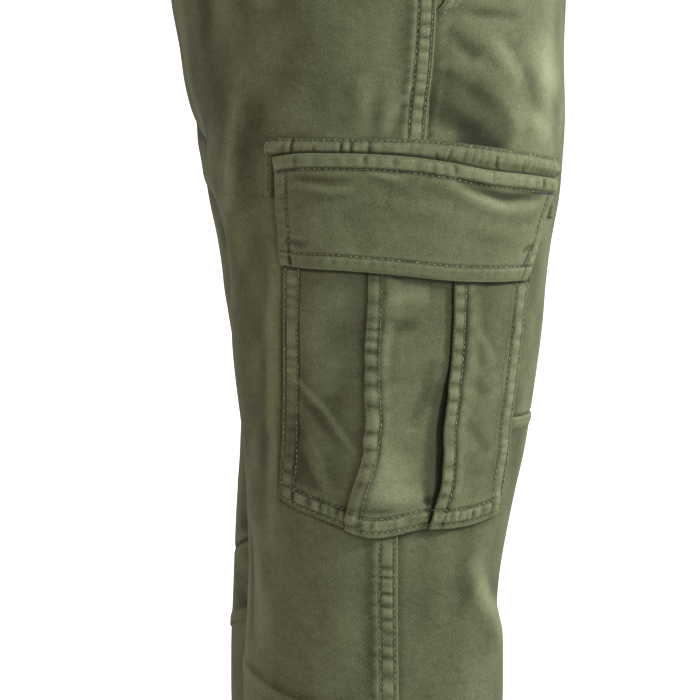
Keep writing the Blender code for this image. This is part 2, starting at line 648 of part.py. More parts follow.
def button(horn):
    """A four-hole button's blank: a round disc with a raised rim, on the lapped end."""
    z = -WAISTBAND_HEIGHT / 2
    lift = WAISTBAND_CLOTH + SEAM_GAP / 2 + SEAM_GAP + BUTTON_THICKNESS / 2
    (point,), (normal,) = across_front(z, [BUTTON_X], lift)
    disc = bmesh.new()
    bmesh.ops.create_cone(
        disc,
        cap_ends=True,
        segments=24,
        radius1=BUTTON_RADIUS,
        radius2=BUTTON_RADIUS,
        depth=BUTTON_THICKNESS,
    )
    front = [face for face in disc.faces if face.normal.z > 0.9]
    bmesh.ops.inset_individual(disc, faces=front, thickness=BUTTON_RIM, depth=-BUTTON_DISH)
    mesh = bpy.data.meshes.new("button")
    disc.to_mesh(mesh)
    disc.free()
    mesh.shade_smooth()
    mesh.set_sharp_from_angle(angle=math.radians(30))
    added = add_object("button", mesh, horn)
    added.location = point
    added.rotation_mode = "QUATERNION"
    added.rotation_quaternion = Vector(normal).to_track_quat("Z", "Y")
    added.data.transform(added.matrix_basis)
    added.matrix_basis = Matrix.Identity(4)


def belt_loop(name, columns, twill):
    """A strap over the band, sewn down above and below it. columns are (side, s(z)) pairs."""
    on_band = WAISTBAND_CLOTH / 2 + SEAM_GAP + LOOP_CLOTH / 2
    on_panel = LAY + FACET_ROOM + LOOP_CLOTH / 2
    course = [(row.z, on_band + row.rise * LOOP_RISE) for row in LOOP_ROWS]
    course += [(-LOOP_BELOW_BAND, on_panel), (-LOOP_LENGTH, on_panel)]
    points, normals = [], []
    for z, lift in course:
        row = [placed(side, *skin(np.array([z]), np.array([s(z)]), lift)) for side, s in columns]
        points.append([place[0][0] for place in row])
        normals.append([place[1][0] for place in row])
    cloth(name, np.array(points), np.array(normals), LOOP_CLOTH, twill)


def belt_loops(twill):
    half = LOOP_WIDTH / 2

    def at(s):
        return lambda z: s

    def beside_centre(apart):
        return lambda z: inner_edge(z, False) + apart

    places = [
        [(side, at(s - half)), (side, at(s)), (side, at(s + half))]
        for s in LOOP_PLACES
        for side in SIDES
    ]
    beside, centre = beside_centre(half), beside_centre(0.0)
    places.append([("right", beside), ("right", centre), ("left", beside)])
    for number, columns in enumerate(places, start=1):
        belt_loop(f"belt_loop_{number}", columns, twill)


def main():
    for old in list(bpy.data.objects):
        bpy.data.objects.remove(old, do_unlink=True)
    twill = material("washed cotton twill", (0.15, 0.165, 0.085), 0.85)
    band_twill = material("band twill", (0.15, 0.165, 0.085), 0.85)
    cargo_twill = material("cargo twill", (0.16, 0.175, 0.09), 0.85)
    horn = material("button horn", (0.06, 0.05, 0.03), 0.45)
    for side in SIDES:
        leg_panels(side, twill)
        hip_facing(side, twill)
        cargo_strip(side, cargo_twill)
        cargo_flap(side, cargo_twill)
        cargo_pocket(side, cargo_twill)
    waistband(band_twill)
    fly(band_twill)
    button(horn)
    belt_loops(band_twill)


main()
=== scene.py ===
# %% [markdown]
# # Cargo pants in washed olive twill
#
# Trousers are flat pieces of cloth sewn into two tubes. Here they are worn, with
# nobody in them: each leg keeps the form that a wearer gives it, and the waist
# and both hems are open. This lesson dresses a plain, hollow model of them. Every
# panel is made again as a thin sheet with its creases, folded edges and puckers,
# and every row of sewing is made of real stitches.

import math
from collections import namedtuple

import bpy
import numpy as np
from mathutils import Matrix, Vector
from mathutils.bvhtree import BVHTree


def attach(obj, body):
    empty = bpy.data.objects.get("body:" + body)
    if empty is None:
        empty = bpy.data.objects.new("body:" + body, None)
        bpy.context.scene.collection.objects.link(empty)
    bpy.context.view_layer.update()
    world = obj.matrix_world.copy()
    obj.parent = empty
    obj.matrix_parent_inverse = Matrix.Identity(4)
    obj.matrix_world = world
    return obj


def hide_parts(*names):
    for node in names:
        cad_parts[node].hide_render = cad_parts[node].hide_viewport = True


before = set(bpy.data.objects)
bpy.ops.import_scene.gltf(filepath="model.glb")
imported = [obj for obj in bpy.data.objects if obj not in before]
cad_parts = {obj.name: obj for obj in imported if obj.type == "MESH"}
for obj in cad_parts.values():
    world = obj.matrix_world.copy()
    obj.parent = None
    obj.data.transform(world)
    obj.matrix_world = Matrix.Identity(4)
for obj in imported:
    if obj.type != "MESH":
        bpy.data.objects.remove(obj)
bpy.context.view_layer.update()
bpy.ops.object.select_all(action="DESELECT")
print("nodes of the frame:", len(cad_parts))

# %% [markdown]
# ## The camera
#
# It looks at the outside of the right thigh, from a little behind the side seam
# and a little above. It stands well back, so that the leg's far and near edges
# keep their true proportions, and a long lens fills the frame with the cargo
# pocket and the cloth round it.

# %% Place the camera
CAMERA_AZIMUTH = math.radians(-94.0)
CAMERA_ELEVATION = math.radians(5.0)
CAMERA_DISTANCE = 2.7
AIM = Vector((-0.10, 0.028, -0.393))
FIELD = 0.455  # metres across, at the aim
SENSOR = 36.0

towards_camera = Vector(
    (
        math.sin(CAMERA_AZIMUTH) * math.cos(CAMERA_ELEVATION),
        -math.cos(CAMERA_AZIMUTH) * math.cos(CAMERA_ELEVATION),
        math.sin(CAMERA_ELEVATION),
    )
)
bpy.ops.object.camera_add(location=AIM + towards_camera * CAMERA_DISTANCE)
camera = bpy.context.object
camera.name = "camera"
camera.rotation_mode = "QUATERNION"
camera.rotation_quaternion = towards_camera.to_track_quat("Z", "Y")
camera.data.sensor_width = SENSOR
camera.data.lens = SENSOR * CAMERA_DISTANCE / FIELD
bpy.context.scene.camera = camera
print("lens:", round(camera.data.lens), "mm")

# %% [markdown]
# ## Colours and nodes
#
# Colours are written as the hex values that a paint or web chart gives, which are
# sRGB. Blender's shaders count in linear light, so one function turns every
# colour. A second one adds a node, sets what it is told and links what it is
# given, so that a material reads as a list of what it is made of. Two more start
# a material and set its plain values.


# %% Helpers for materials
def linear(hex_colour, alpha=1.0):
    parts = [int(hex_colour[i : i + 2], 16) / 255 for i in (1, 3, 5)]
    return (*[c / 12.92 if c <= 0.04045 else ((c + 0.055) / 1.055) ** 2.4 for c in parts], alpha)


def add_node(tree, kind, inputs=None, **settings):
    """Adds a node. inputs maps its sockets to values, or to the sockets that feed them."""
    node = tree.nodes.new("ShaderNode" + kind)
    for name, value in settings.items():
        setattr(node, name, value)
    for socket, value in (inputs or {}).items():
        if isinstance(value, bpy.types.NodeSocket):
            tree.links.new(value, node.inputs[socket])
        else:
            node.inputs[socket].default_value = value
    return node


def new_material(name):
    """An empty material, its tree and its shader."""
    made = bpy.data.materials.new(name)
    made.use_nodes = True
    return made, made.node_tree, made.node_tree.nodes["Principled BSDF"]


def set_inputs(shader, values):
    for socket, value in values.items():
        shader.inputs[socket].default_value = value


print("olive in linear light:", [round(c, 3) for c in linear("#54573F")[:3]])

# %% [markdown]
# ## Floor and light
#
# The floor is a plain pale sheet just under the hems, wide enough to fill the
# view. The key light stands high in front and to the wearer's right, and brings
# out the thigh. A second one, further round, draws the front edge. A broad low
# one fills the shadows a little, and a weak warm one from behind draws the back
# edge, where the leg falls into shade. The sky of an even studio does the rest.
# The floor would throw so much white light up under the flap that its shadow
# were lost, so it is seen by the camera but sends no light to the cloth. Above
# the floor's end the camera sees the studio's wall, as pale as the floor.


# %% Lay the floor and hang the lights
def soft_light(name, place, aim, size, watts, colour):
    bpy.ops.object.light_add(type="AREA", location=place)
    light = bpy.context.object
    light.name = name
    light.data.shape = "DISK"
    light.data.size = size
    light.data.energy = watts
    light.data.color = linear(colour)[:3]
    light.rotation_mode = "QUATERNION"
    light.rotation_quaternion = (Vector(place) - Vector(aim)).to_track_quat("Z", "Y")
    return light


WHITE = (1.0, 1.0, 1.0, 1.0)
FLOOR_LEVEL, FLOOR_RADIUS = -1.047, 400.0
bpy.ops.mesh.primitive_circle_add(
    vertices=96, radius=FLOOR_RADIUS, fill_type="NGON", location=(0, 0, FLOOR_LEVEL)
)
floor = bpy.context.object
floor.name = "floor"
pale, _, paint = new_material("matt white studio paint")
set_inputs(paint, {"Base Color": linear("#F4F4F2"), "Roughness": 0.9, "Specular IOR Level": 0.1})
set_inputs(paint, {"Emission Color": WHITE, "Emission Strength": 0.88})
floor.data.materials.append(pale)
floor.visible_diffuse = False
floor.visible_glossy = False

THIGH = (-0.10, 0.0, -0.40)
soft_light("key", (-1.0, -1.7, 0.6), THIGH, 0.42, 46.0, "#FFFDF6")
soft_light("front edge", (0.7, -1.8, 0.8), THIGH, 0.42, 35.0, "#FFFDF6")
soft_light("low fill", (-2.2, -0.9, -0.9), THIGH, 1.2, 26.0, "#FFFDF6")
soft_light("warm edge", (-0.3, 2.2, -0.7), THIGH, 0.7, 8.0, "#FFC070")

world = bpy.data.worlds.new("even studio")
bpy.context.scene.world = world
world.use_nodes = True
sky = world.node_tree.nodes["Background"]
set_inputs(sky, {"Color": WHITE, "Strength": 0.58})
wall = add_node(world.node_tree, "Background", {"Color": WHITE, "Strength": 1.0})
seen = add_node(world.node_tree, "LightPath").outputs["Is Camera Ray"]
mixed = add_node(world.node_tree, "MixShader", {0: seen, 1: sky.outputs[0], 2: wall.outputs[0]})
world.node_tree.links.new(mixed.outputs[0], world.node_tree.nodes["World Output"].inputs["Surface"])
bpy.context.scene.view_settings.view_transform = "Standard"

# %% [markdown]
# ## Washed cotton twill
#
# The cloth is a heavy cotton twill, piece-dyed olive and then washed as a
# finished garment. Three things give that to the eye: fine diagonal wales that
# climb to the right, a mottled dye that is paler wherever washing has rubbed a
# ridge, and a soft, low sheen from raised fibres. Each crevice is painted darker,
# as painted shade.
#
# A picture of cloth could be wrapped round it, but the wales would stretch at
# each fold. Instead every sheet carries a map of its flat cut in millimetres,
# and the wales are bands drawn on that map. Ruled bands look printed, so they
# waver, and short uneven strokes of yarn lie along them. A single number, the
# tone, adds up the wales, the yarn, the dye, the wear and the painted shade, and
# picks one of five cloth colours.

# %% Mix the twill
WALE_PERIOD = 1.35  # mm; real wales are half of this, and too fine to show
WALE_TILT = math.radians(27.0)  # the wales climb at 63 degrees
BAND = 0.31416  # period of Blender's band pattern at scale 1
STROKE = (0.62, 2.4)  # mm, a stroke of yarn across and along the wale
MOTTLE = 5.5  # mm, where the wash has rubbed the dye unevenly
DYE_CLOUD = 38.0  # mm

TWILL_TONES = [
    (0.0, "#1F2116"), (0.3, "#3A3C28"), (0.5, "#54573F"), (0.7, "#6A6F54"), (1.0, "#8F9479"),
]


def set_tones(ramp, tones):
    """Gives a ramp its stops, each a place and a hex colour."""
    stops = ramp.color_ramp.elements
    for place, _ in tones[1:-1]:
        stops.new(place)
    for stop, (place, colour) in zip(stops, tones):
        stop.position, stop.color = place, linear(colour)


def twill(name, lift=0.0):
    """Piece-dyed cotton twill, garment washed. lift makes a paler batch of the same dye."""
    made, tree, shader = new_material(name)
    cut = add_node(tree, "UVMap", uv_map="cut in mm").outputs["UV"]
    turned = add_node(tree, "Mapping", {"Vector": cut, "Rotation": (0, 0, WALE_TILT)}).outputs["Vector"]
    waver = {"Scale": BAND / WALE_PERIOD, "Distortion": 1.6, "Detail": 2.0, "Detail Scale": 2.5}
    wales = add_node(tree, "TexWave", {"Vector": turned, **waver}).outputs["Fac"]
    across, along = (1 / grain for grain in STROKE)
    drawn_out = add_node(tree, "Mapping", {"Vector": turned, "Scale": (across, along, 1)}).outputs["Vector"]
    yarn = add_node(tree, "TexNoise", {"Vector": drawn_out, "Scale": 1.0, "Detail": 2.0}).outputs["Fac"]
    mottle = add_node(tree, "TexNoise", {"Vector": cut, "Scale": 1 / MOTTLE, "Detail": 3.0}).outputs["Fac"]
    cloud = {"Scale": 1 / DYE_CLOUD, "Detail": 4.0, "Roughness": 0.6}
    dye = add_node(tree, "TexNoise", {"Vector": cut, **cloud}).outputs["Fac"]
    # The sheet's attribute: paler on rubbed ridges and edges from wear, darker as painted shade in crevices,
    # in folds and beside other pieces.
    wear_and_shade = add_node(tree, "Attribute", attribute_name="wear_and_shade").outputs["Fac"]
    tone = wear_and_shade
    for layer, strength in ((wales, 0.15), (yarn, 0.40), (mottle, 0.17), (dye, 0.28)):
        centred = add_node(tree, "Math", {0: layer, 1: -0.5}, operation="ADD").outputs[0]
        tone = add_node(tree, "Math", {0: centred, 1: strength, 2: tone}, operation="MULTIPLY_ADD").outputs[0]
    tone = add_node(tree, "Math", {0: tone, 1: 0.5 + lift}, operation="ADD").outputs[0]
    ramp = add_node(tree, "ValToRGB", {"Fac": tone})
    set_tones(ramp, TWILL_TONES)
    weave = add_node(tree, "Math", {0: yarn, 1: 0.6, 2: wales}, operation="MULTIPLY_ADD").outputs[0]
    bump = add_node(tree, "Bump", {"Height": weave, "Strength": 0.45, "Distance": 0.00025})
    tree.links.new(ramp.outputs["Color"], shader.inputs["Base Color"])
    tree.links.new(bump.outputs["Normal"], shader.inputs["Normal"])
    set_inputs(shader, {"Roughness": 0.78, "Specular IOR Level": 0.22})
    set_inputs(shader, {"Sheen Weight": 0.14, "Sheen Roughness": 0.45, "Sheen Tint": linear("#C9CBA8")})
    return made


leg_twill = twill("washed olive cotton twill")
trim_twill = twill("washed olive cotton twill, narrow pieces", lift=0.02)
print("twill:", leg_twill.name, "with", len(TWILL_TONES), "tones")

# %% [markdown]
# ## The leg's form
#
# A leg is a tube. Its sections come from a short table: at each level, how far
# the tube reaches outwards, inwards, forwards and backwards, and where the side
# seam lies. The cloth on it is measured as a tailor would measure it, by the
# height z and by the distance s round the leg from the side seam, forwards
# positive. Everything that is sewn on the leg is placed by those two lengths, so
# nothing can drift off it.

# %% Measures of the garment, in metres
CLOTH = 0.0015
BAG_CLOTH = 0.0010
FLAP_CLOTH = 0.0022
SEAM_GAP = 0.0003
FACET_ROOM = 0.0004
FACING_ROOM = 0.0009
LAY = CLOTH / 2 + SEAM_GAP + FACET_ROOM
SECTION_FULLNESS = 2.2
HEM_DEPTH = 1.040
HEM_TURN = 0.022
CROTCH_DEPTH = 0.2885
KNEE_SEAM_DEPTH = 0.433
BACK_SEAM_DEPTH = 0.604
BACK_SEAM_TILT = 0.28
BACK_SEAM_REACH = (0.16, 0.25)  # above and below
BACK_MIDDLE = -0.133
WAISTBAND_HEIGHT = 0.040
WAISTBAND_CLOTH = 0.0024
MOUTH_TOP, MOUTH_FOOT, MOUTH_DEPTH, MOUTH_LAP = 0.062, 0.005, 0.168, 0.012
FAR_OFF = 9.0  # farther than anything reaches


def table(columns, rows):
    """A short table: rows of numbers under named columns."""
    Row = namedtuple("Row", columns)
    return [Row(*row) for row in rows]


SECTIONS = table("z middle outer inner fore aft seam", [
    (0.010, 0.000, 0.145, -0.145, 0.103, 0.107, 0.012),
    (-0.040, 0.005, 0.152, -0.140, 0.108, 0.116, 0.014),
    (-0.100, 0.022, 0.168, -0.116, 0.114, 0.134, 0.018),
    (-0.166, 0.048, 0.179, -0.082, 0.116, 0.139, 0.021),
    (-0.200, 0.062, 0.183, -0.058, 0.114, 0.133, 0.019),
    (-0.250, 0.083, 0.187, -0.022, 0.112, 0.125, 0.014),
    (-0.289, 0.094, 0.189, 0.000, 0.108, 0.115, 0.011),
    (-0.330, 0.097, 0.188, 0.008, 0.101, 0.106, 0.007),
    (-0.390, 0.098, 0.185, 0.013, 0.094, 0.104, 0.003),
    (-0.460, 0.100, 0.180, 0.019, 0.084, 0.097, -0.002),
    (-0.530, 0.101, 0.175, 0.024, 0.071, 0.094, -0.003),
    (-0.620, 0.102, 0.171, 0.028, 0.072, 0.096, -0.002),
    (-0.800, 0.104, 0.169, 0.036, 0.056, 0.096, -0.008),
    (-0.940, 0.106, 0.168, 0.042, 0.042, 0.098, -0.018),
    (-1.050, 0.107, 0.168, 0.045, 0.038, 0.100, -0.022),
])
LEFT_STANCE = table("z ahead", [
    (0.010, 0.000), (-0.270, 0.000), (-0.300, 0.000), (-0.360, 0.004), (-0.430, 0.009),
    (-0.480, 0.006), (-0.530, 0.001), (-0.580, 0.000), (-0.620, 0.000), (-1.050, 0.000),
])
print("a leg of", len(SECTIONS), "sections")


# %% Read a table on a smooth curve
def smooth(rows, key, column, where):
    x = np.array([getattr(row, key) for row in rows])
    y = np.array([getattr(row, column) for row in rows])
    if x[0] > x[-1]:
        x, y = x[::-1], y[::-1]
    step = np.diff(x)
    slope = np.diff(y) / step
    tangent = np.concatenate([slope[:1], np.zeros(len(x) - 2), slope[-1:]])
    tangent[1:-1] = (slope[1:] * step[:-1] + slope[:-1] * step[1:]) / (x[2:] - x[:-2])
    where = np.clip(where, x[0], x[-1])
    k = np.clip(np.searchsorted(x, where) - 1, 0, len(x) - 2)
    t = (where - x[k]) / step[k]
    start = (2 * t**3 - 3 * t**2 + 1) * y[k] + (t**3 - 2 * t**2 + t) * step[k] * tangent[k]
    end = (3 * t**2 - 2 * t**3) * y[k + 1] + (t**3 - t**2) * step[k] * tangent[k + 1]
    return start + end


def smoothstep(t):
    t = np.clip(t, 0, 1)
    return t * t * (3 - 2 * t)


def bell(distance, width):
    return np.exp(-((distance / width) ** 2))


def section_point(z, angle):
    """The outer skin at an angle: 0 is outermost, +pi/2 the front, +-pi innermost."""
    middle, outer, inner, fore, aft = (smooth(SECTIONS, "z", name, z) for name in SECTIONS[0]._fields[1:6])
    across = np.sign(np.cos(angle)) * np.abs(np.cos(angle)) ** (2 / SECTION_FULLNESS)
    along = np.sign(np.sin(angle)) * np.abs(np.sin(angle)) ** (2 / SECTION_FULLNESS)
    out = middle + across * np.where(across > 0, outer - middle, middle - inner)
    return out, (aft - fore) / 2 - along * (aft + fore) / 2


knee_reach = float(section_point(np.array(-0.5), np.array(0.0))[0])
print("the leg reaches out", round(knee_reach, 3), "m at the knee")


# %% Measure distances round the leg
LEVEL_STEP, DISTANCE_STEP, FARTHEST, NORMAL_STEP = 0.005, 0.002, 0.500, 0.0015
LEVELS = np.arange(-1.050, 0.0101, LEVEL_STEP)
DISTANCES = np.arange(-FARTHEST, FARTHEST + DISTANCE_STEP / 2, DISTANCE_STEP)
RING_ANGLES = np.linspace(-math.pi, math.pi, 721)


def measure_rings():
    """For each level: the angle at each distance, and both ends of the ring."""
    angles = np.empty((len(LEVELS), len(DISTANCES)))
    ends = np.empty((len(LEVELS), 2))
    for i, z in enumerate(LEVELS):
        out, y = section_point(np.full_like(RING_ANGLES, z), RING_ANGLES)
        length = np.concatenate([[0.0], np.cumsum(np.hypot(np.diff(out), np.diff(y)))])
        near_side = np.abs(RING_ANGLES) < 1.0
        seam_y = -smooth(SECTIONS, "z", "seam", z)
        order = np.argsort(y[near_side])
        length -= np.interp(seam_y, y[near_side][order], length[near_side][order])
        angles[i] = np.interp(DISTANCES, length, RING_ANGLES)
        ends[i] = length[0], length[-1]
    return angles, ends


ANGLE_GRID, RING_ENDS = measure_rings()


def base_point(z, s):
    """The unfolded skin of a leg at height z and distance s, as (out, y, z)."""
    i = np.clip((z - LEVELS[0]) / LEVEL_STEP, 0, len(LEVELS) - 1.001)
    j = np.clip((s - DISTANCES[0]) / DISTANCE_STEP, 0, len(DISTANCES) - 1.001)
    i0, j0 = i.astype(int), j.astype(int)
    u, v = i - i0, j - j0
    low = ANGLE_GRID[i0, j0] * (1 - v) + ANGLE_GRID[i0, j0 + 1] * v
    high = ANGLE_GRID[i0 + 1, j0] * (1 - v) + ANGLE_GRID[i0 + 1, j0 + 1] * v
    out, y = section_point(z, low * (1 - u) + high * u)
    return np.stack([out, y, z], axis=-1)


def ring_end(z, front):
    """The inseam, as a distance from the side seam."""
    return np.interp(z, LEVELS, RING_ENDS[:, 1 if front else 0])


def skin_normal(z, s):
    s = np.clip(s, ring_end(z, False) + NORMAL_STEP, ring_end(z, True) - NORMAL_STEP)
    along = base_point(z, s + NORMAL_STEP) - base_point(z, s - NORMAL_STEP)
    up = base_point(z + NORMAL_STEP, s) - base_point(z - NORMAL_STEP, s)
    normal = np.cross(up, along)
    return normal / np.linalg.norm(normal, axis=-1, keepdims=True)


print("a ring at the thigh is", round(float(ring_end(-0.33, True) - ring_end(-0.33, False)), 3), "m round")

# %% [markdown]
# ## The large folds
#
# Standing in them has set a few large folds into each leg: one below the seat,
# one that runs from the slant pocket across the thigh, some behind the knee and
# where the cloth breaks above the shoe. Each is a line on the cloth with a width
# and a height, high in its middle and gone at its ends. Simulated cloth would
# fall into folds of its own choosing, so these are listed one by one.

# %% Lay the large folds
FOLDS = table("s_top z_top s_foot z_foot half_width height", [
    (-0.130, -0.212, -0.150, -0.380, 0.014, 0.003),
    (-0.114, -0.270, -0.108, -0.480, 0.012, -0.004),
    (-0.115, -0.500, -0.088, -0.640, 0.020, -0.003),
    (0.006, -0.197, 0.112, -0.236, 0.011, 0.0035),
    (0.002, -0.211, 0.092, -0.246, 0.010, -0.003),
    (0.053, -0.530, 0.142, -0.590, 0.020, -0.003),
    (0.270, -0.330, 0.150, -0.250, 0.018, -0.004),
    (-0.270, -0.330, -0.185, -0.235, 0.018, -0.005),
    (0.130, -0.880, 0.010, -0.930, 0.020, 0.004),
    (-0.150, -0.850, -0.020, -0.900, 0.020, -0.004),
    (0.200, -0.950, 0.060, -0.985, 0.018, -0.004),
    (-0.200, -0.960, -0.050, -0.980, 0.018, 0.003),
])
FOLD_FADE = 0.7


def fold_height(z, s):
    height = np.zeros_like(z)
    for fold in FOLDS:
        run = np.array([fold.s_foot - fold.s_top, fold.z_foot - fold.z_top])
        length = np.linalg.norm(run)
        run /= length
        along = (s - fold.s_top) * run[0] + (z - fold.z_top) * run[1]
        across = (s - fold.s_top) * run[1] - (z - fold.z_top) * run[0]
        fade = np.sin(np.clip(along / length, 0, 1) * math.pi) ** FOLD_FADE
        height += fold.height * fade * bell(across, fold.half_width)
    return height


def skin(z, s, lift=0.0):
    """Points and normals of a leg's cloth, moved out from its middle by lift."""
    z, s, lift = np.broadcast_arrays(np.asarray(z, float), np.asarray(s, float), lift)
    normal = skin_normal(z, s)
    point = base_point(z, s) + normal * (fold_height(z, s) + lift)[..., None]
    return point, normal


SIDES = {"right": -1, "left": 1}


def placed(side, point, normal):
    """Turns (out, y, z) of a leg into points of the right or the left leg."""
    turn = np.array([SIDES[side], 1.0, 1.0])
    point, normal = point * turn, normal * turn
    if side == "left":
        point[..., 1] -= smooth(LEFT_STANCE, "z", "ahead", point[..., 2])
    return point, normal


def leg_face(side, z, s, lift):
    """A grid of points on one leg."""
    return placed(side, *skin(z, s, lift))[0]


print("large folds:", len(FOLDS))


# %% Find the centre seam and the inseam
SEAM_DIP = 0.0005  # the seam draws the cloth in
SEAM_MEET = 0.00002  # from the middle plane: left and right are sewn together


def inner_edge(z, front):
    """A panel's inner edge: the centre seam above the crotch, the inseam below it."""
    far = float(ring_end(z, front))
    s = np.linspace(0.1 * far, far, 200)
    point, normal = skin(np.full_like(s, z), s)
    room = point[:, 0] + normal[:, 0] * (CLOTH / 2 - SEAM_DIP) - SEAM_MEET
    inside = np.flatnonzero(room < 0)
    edge = far - math.copysign(SEAM_GAP / 2, far)
    if z > -CROTCH_DEPTH and len(inside):
        k = inside[0]
        t = room[k - 1] / (room[k - 1] - room[k])
        edge = min(edge, s[k - 1] + t * (s[k] - s[k - 1]), key=abs)
    return edge


STRETCHES = ((-1.045, -0.32, 0.01), (-0.32, -0.24, 0.001), (-0.24, 0.009, 0.005))  # finest at the crotch
EDGE_LEVELS = np.concatenate([np.arange(*stretch) for stretch in STRETCHES])
INNER_EDGES = {front: np.array([inner_edge(z, front) for z in EDGE_LEVELS]) for front in (True, False)}


def edge_at(z, front):
    return np.interp(z, EDGE_LEVELS, INNER_EDGES[front])


print("half the waist is", round(float(edge_at(-0.02, True) - edge_at(-0.02, False)), 3), "m")

# %% [markdown]
# ## Small creases and puckers
#
# Between the large folds lie small ones. Each is drawn as a short line of points
# in millimetres on the flat cloth, rounded off, with a width and a height. A
# little smooth noise bends them all, so that none is ruled. Puckers are another
# matter: where thread has shrunk in the wash and drawn up a seam, the cloth
# beside it stands in a ladder of short ridges. They come from a wave whose
# spacing and strength wander along the seam.


# %% Noise, creases and puckers
def cloth_noise(a, b, grain, seed):
    """Smooth random heights from -1 to 1, in lumps of the size grain."""
    lattice = np.random.default_rng(seed).uniform(-1, 1, (128, 128))
    u, v = a / grain, b / grain
    i, j = np.floor(u).astype(int), np.floor(v).astype(int)
    p, q = smoothstep(u - i), smoothstep(v - j)
    near = lattice[i % 128, j % 128] * (1 - q) + lattice[i % 128, (j + 1) % 128] * q
    far = lattice[(i + 1) % 128, j % 128] * (1 - q) + lattice[(i + 1) % 128, (j + 1) % 128] * q
    return near * (1 - p) + far * p


def rounded(path):
    path = np.array(path, float) / 1000
    for _ in range(2):
        first, second = 0.75 * path[:-1] + 0.25 * path[1:], 0.25 * path[:-1] + 0.75 * path[1:]
        path = np.concatenate([path[:1], np.stack([first, second], 1).reshape(-1, 2), path[-1:]])
    return path


CREASE_BEND, BEND_GRAIN, CREASE_FADE = 0.0016, 0.018, 0.6


def crease_height(creases, z, s):
    """Creases on a sheet, bent a little. Each is a width, a height and a line of (s, z) places, in mm."""
    total = np.zeros_like(z)
    s = s + CREASE_BEND * cloth_noise(z, s, BEND_GRAIN, 5)
    z = z + CREASE_BEND * cloth_noise(z, s, BEND_GRAIN, 6)
    for width_mm, height_mm, *places in creases:
        path, width = rounded(places), width_mm / 1000
        low, high = path.min(0) - 3 * width, path.max(0) + 3 * width
        near = (s > low[0]) & (s < high[0]) & (z > low[1]) & (z < high[1])
        here = np.stack([s[near], z[near]], -1)
        lengths = np.linalg.norm(np.diff(path, axis=0), axis=1)
        best, share, before = np.full(len(here), FAR_OFF), np.zeros(len(here)), 0.0
        for start, run, length in zip(path[:-1], np.diff(path, axis=0), lengths):
            t = np.clip(((here - start) @ run) / length**2, 0, 1)
            apart = np.linalg.norm(here - start - t[:, None] * run, axis=1)
            share = np.where(apart < best, (before + t * length) / lengths.sum(), share)
            best = np.minimum(apart, best)
            before += length
        fade = np.sin(np.pi * np.clip(share, 0.0, 1.0)) ** CREASE_FADE
        total[near] += height_mm / 1000 * fade * bell(best, width)
    return total


def puckers(run, pitch, seed, crest=1.0):
    """A ladder of puckers along a seam: up to 1 on a crest, 0 in the valley. A large crest is narrow."""
    still = np.zeros_like(run)
    wander = 0.8 * pitch * cloth_noise(run, still, 2.3 * pitch, seed)
    strength = 0.55 + 0.45 * cloth_noise(run, still + 0.5, 1.7 * pitch, seed + 1)
    return strength * np.abs(np.sin(math.pi * (run + wander) / pitch)) ** crest


print("a pucker's crest, over two pitches:", puckers(np.linspace(0, 0.014, 6), 0.007, 3).round(2))

# %% [markdown]
# ## A sheet of cloth
#
# A sheet is a grid of points with an outer and an inner face, a wall's thickness
# apart, closed round its rim. Blender's Solidify could give a flat sheet its
# wall, but here a folded edge is thicker than the rest, so both faces are made
# at once. The grid also carries the flat cut in millimetres, for the weave, and
# how far each point stands above the cloth round it: a ridge is paler from wear,
# and a hollow gets painted shade. Two more things this cannot see, so a sheet may
# name them: an edge that everything rubs pale, and painted shade in a fold or
# beside a piece that keeps the light out.


# %% Make sheets from grids
def spread(height):
    """The mean height round each point of a grid."""
    mean = height
    for _ in range(2):
        for axis in (0, 1):
            ends = [(2, 2) if axis == k else (0, 0) for k in (0, 1)]
            total = np.cumsum(np.pad(mean, ends, mode="edge"), axis=axis)
            total = np.insert(total, 0, 0.0, axis=axis)
            high = np.take(total, range(5, total.shape[axis]), axis=axis)
            low = np.take(total, range(0, total.shape[axis] - 5), axis=axis)
            mean = (high - low) / 5
    return mean


def grid_faces(rows, columns):
    corner = (np.arange(rows - 1)[:, None] * columns + np.arange(columns - 1)).reshape(-1)
    return np.stack([corner, corner + 1, corner + 1 + columns, corner + columns], -1)


def make_mesh(name, points, faces, material, sharp=55.0):
    mesh = bpy.data.meshes.new(name)
    mesh.from_pydata(points.tolist(), [], faces.tolist())
    mesh.shade_smooth()
    mesh.set_sharp_from_angle(angle=math.radians(sharp))
    mesh.materials.append(material)
    made = bpy.data.objects.new(name, mesh)
    bpy.context.scene.collection.objects.link(made)
    return made


def flat_map(mesh, flat):
    layer = mesh.uv_layers.new(name="cut in mm")
    corners = np.empty(len(mesh.loops), int)
    mesh.loops.foreach_get("vertex_index", corners)
    layer.data.foreach_set("uv", flat[corners].astype(np.float32).ravel())


print("a grid of 3 x 4 points has", len(grid_faces(3, 4)), "faces")

# %% Make a sheet and map its cut
# Gains and limits of the wear on ridges and of the painted shade in crevices and folds.
WEAR_GAIN, CREVICE_SHADE_GAIN = 260.0, 480.0
RUBBED, SHADE_DEPTH = 0.17, 0.42


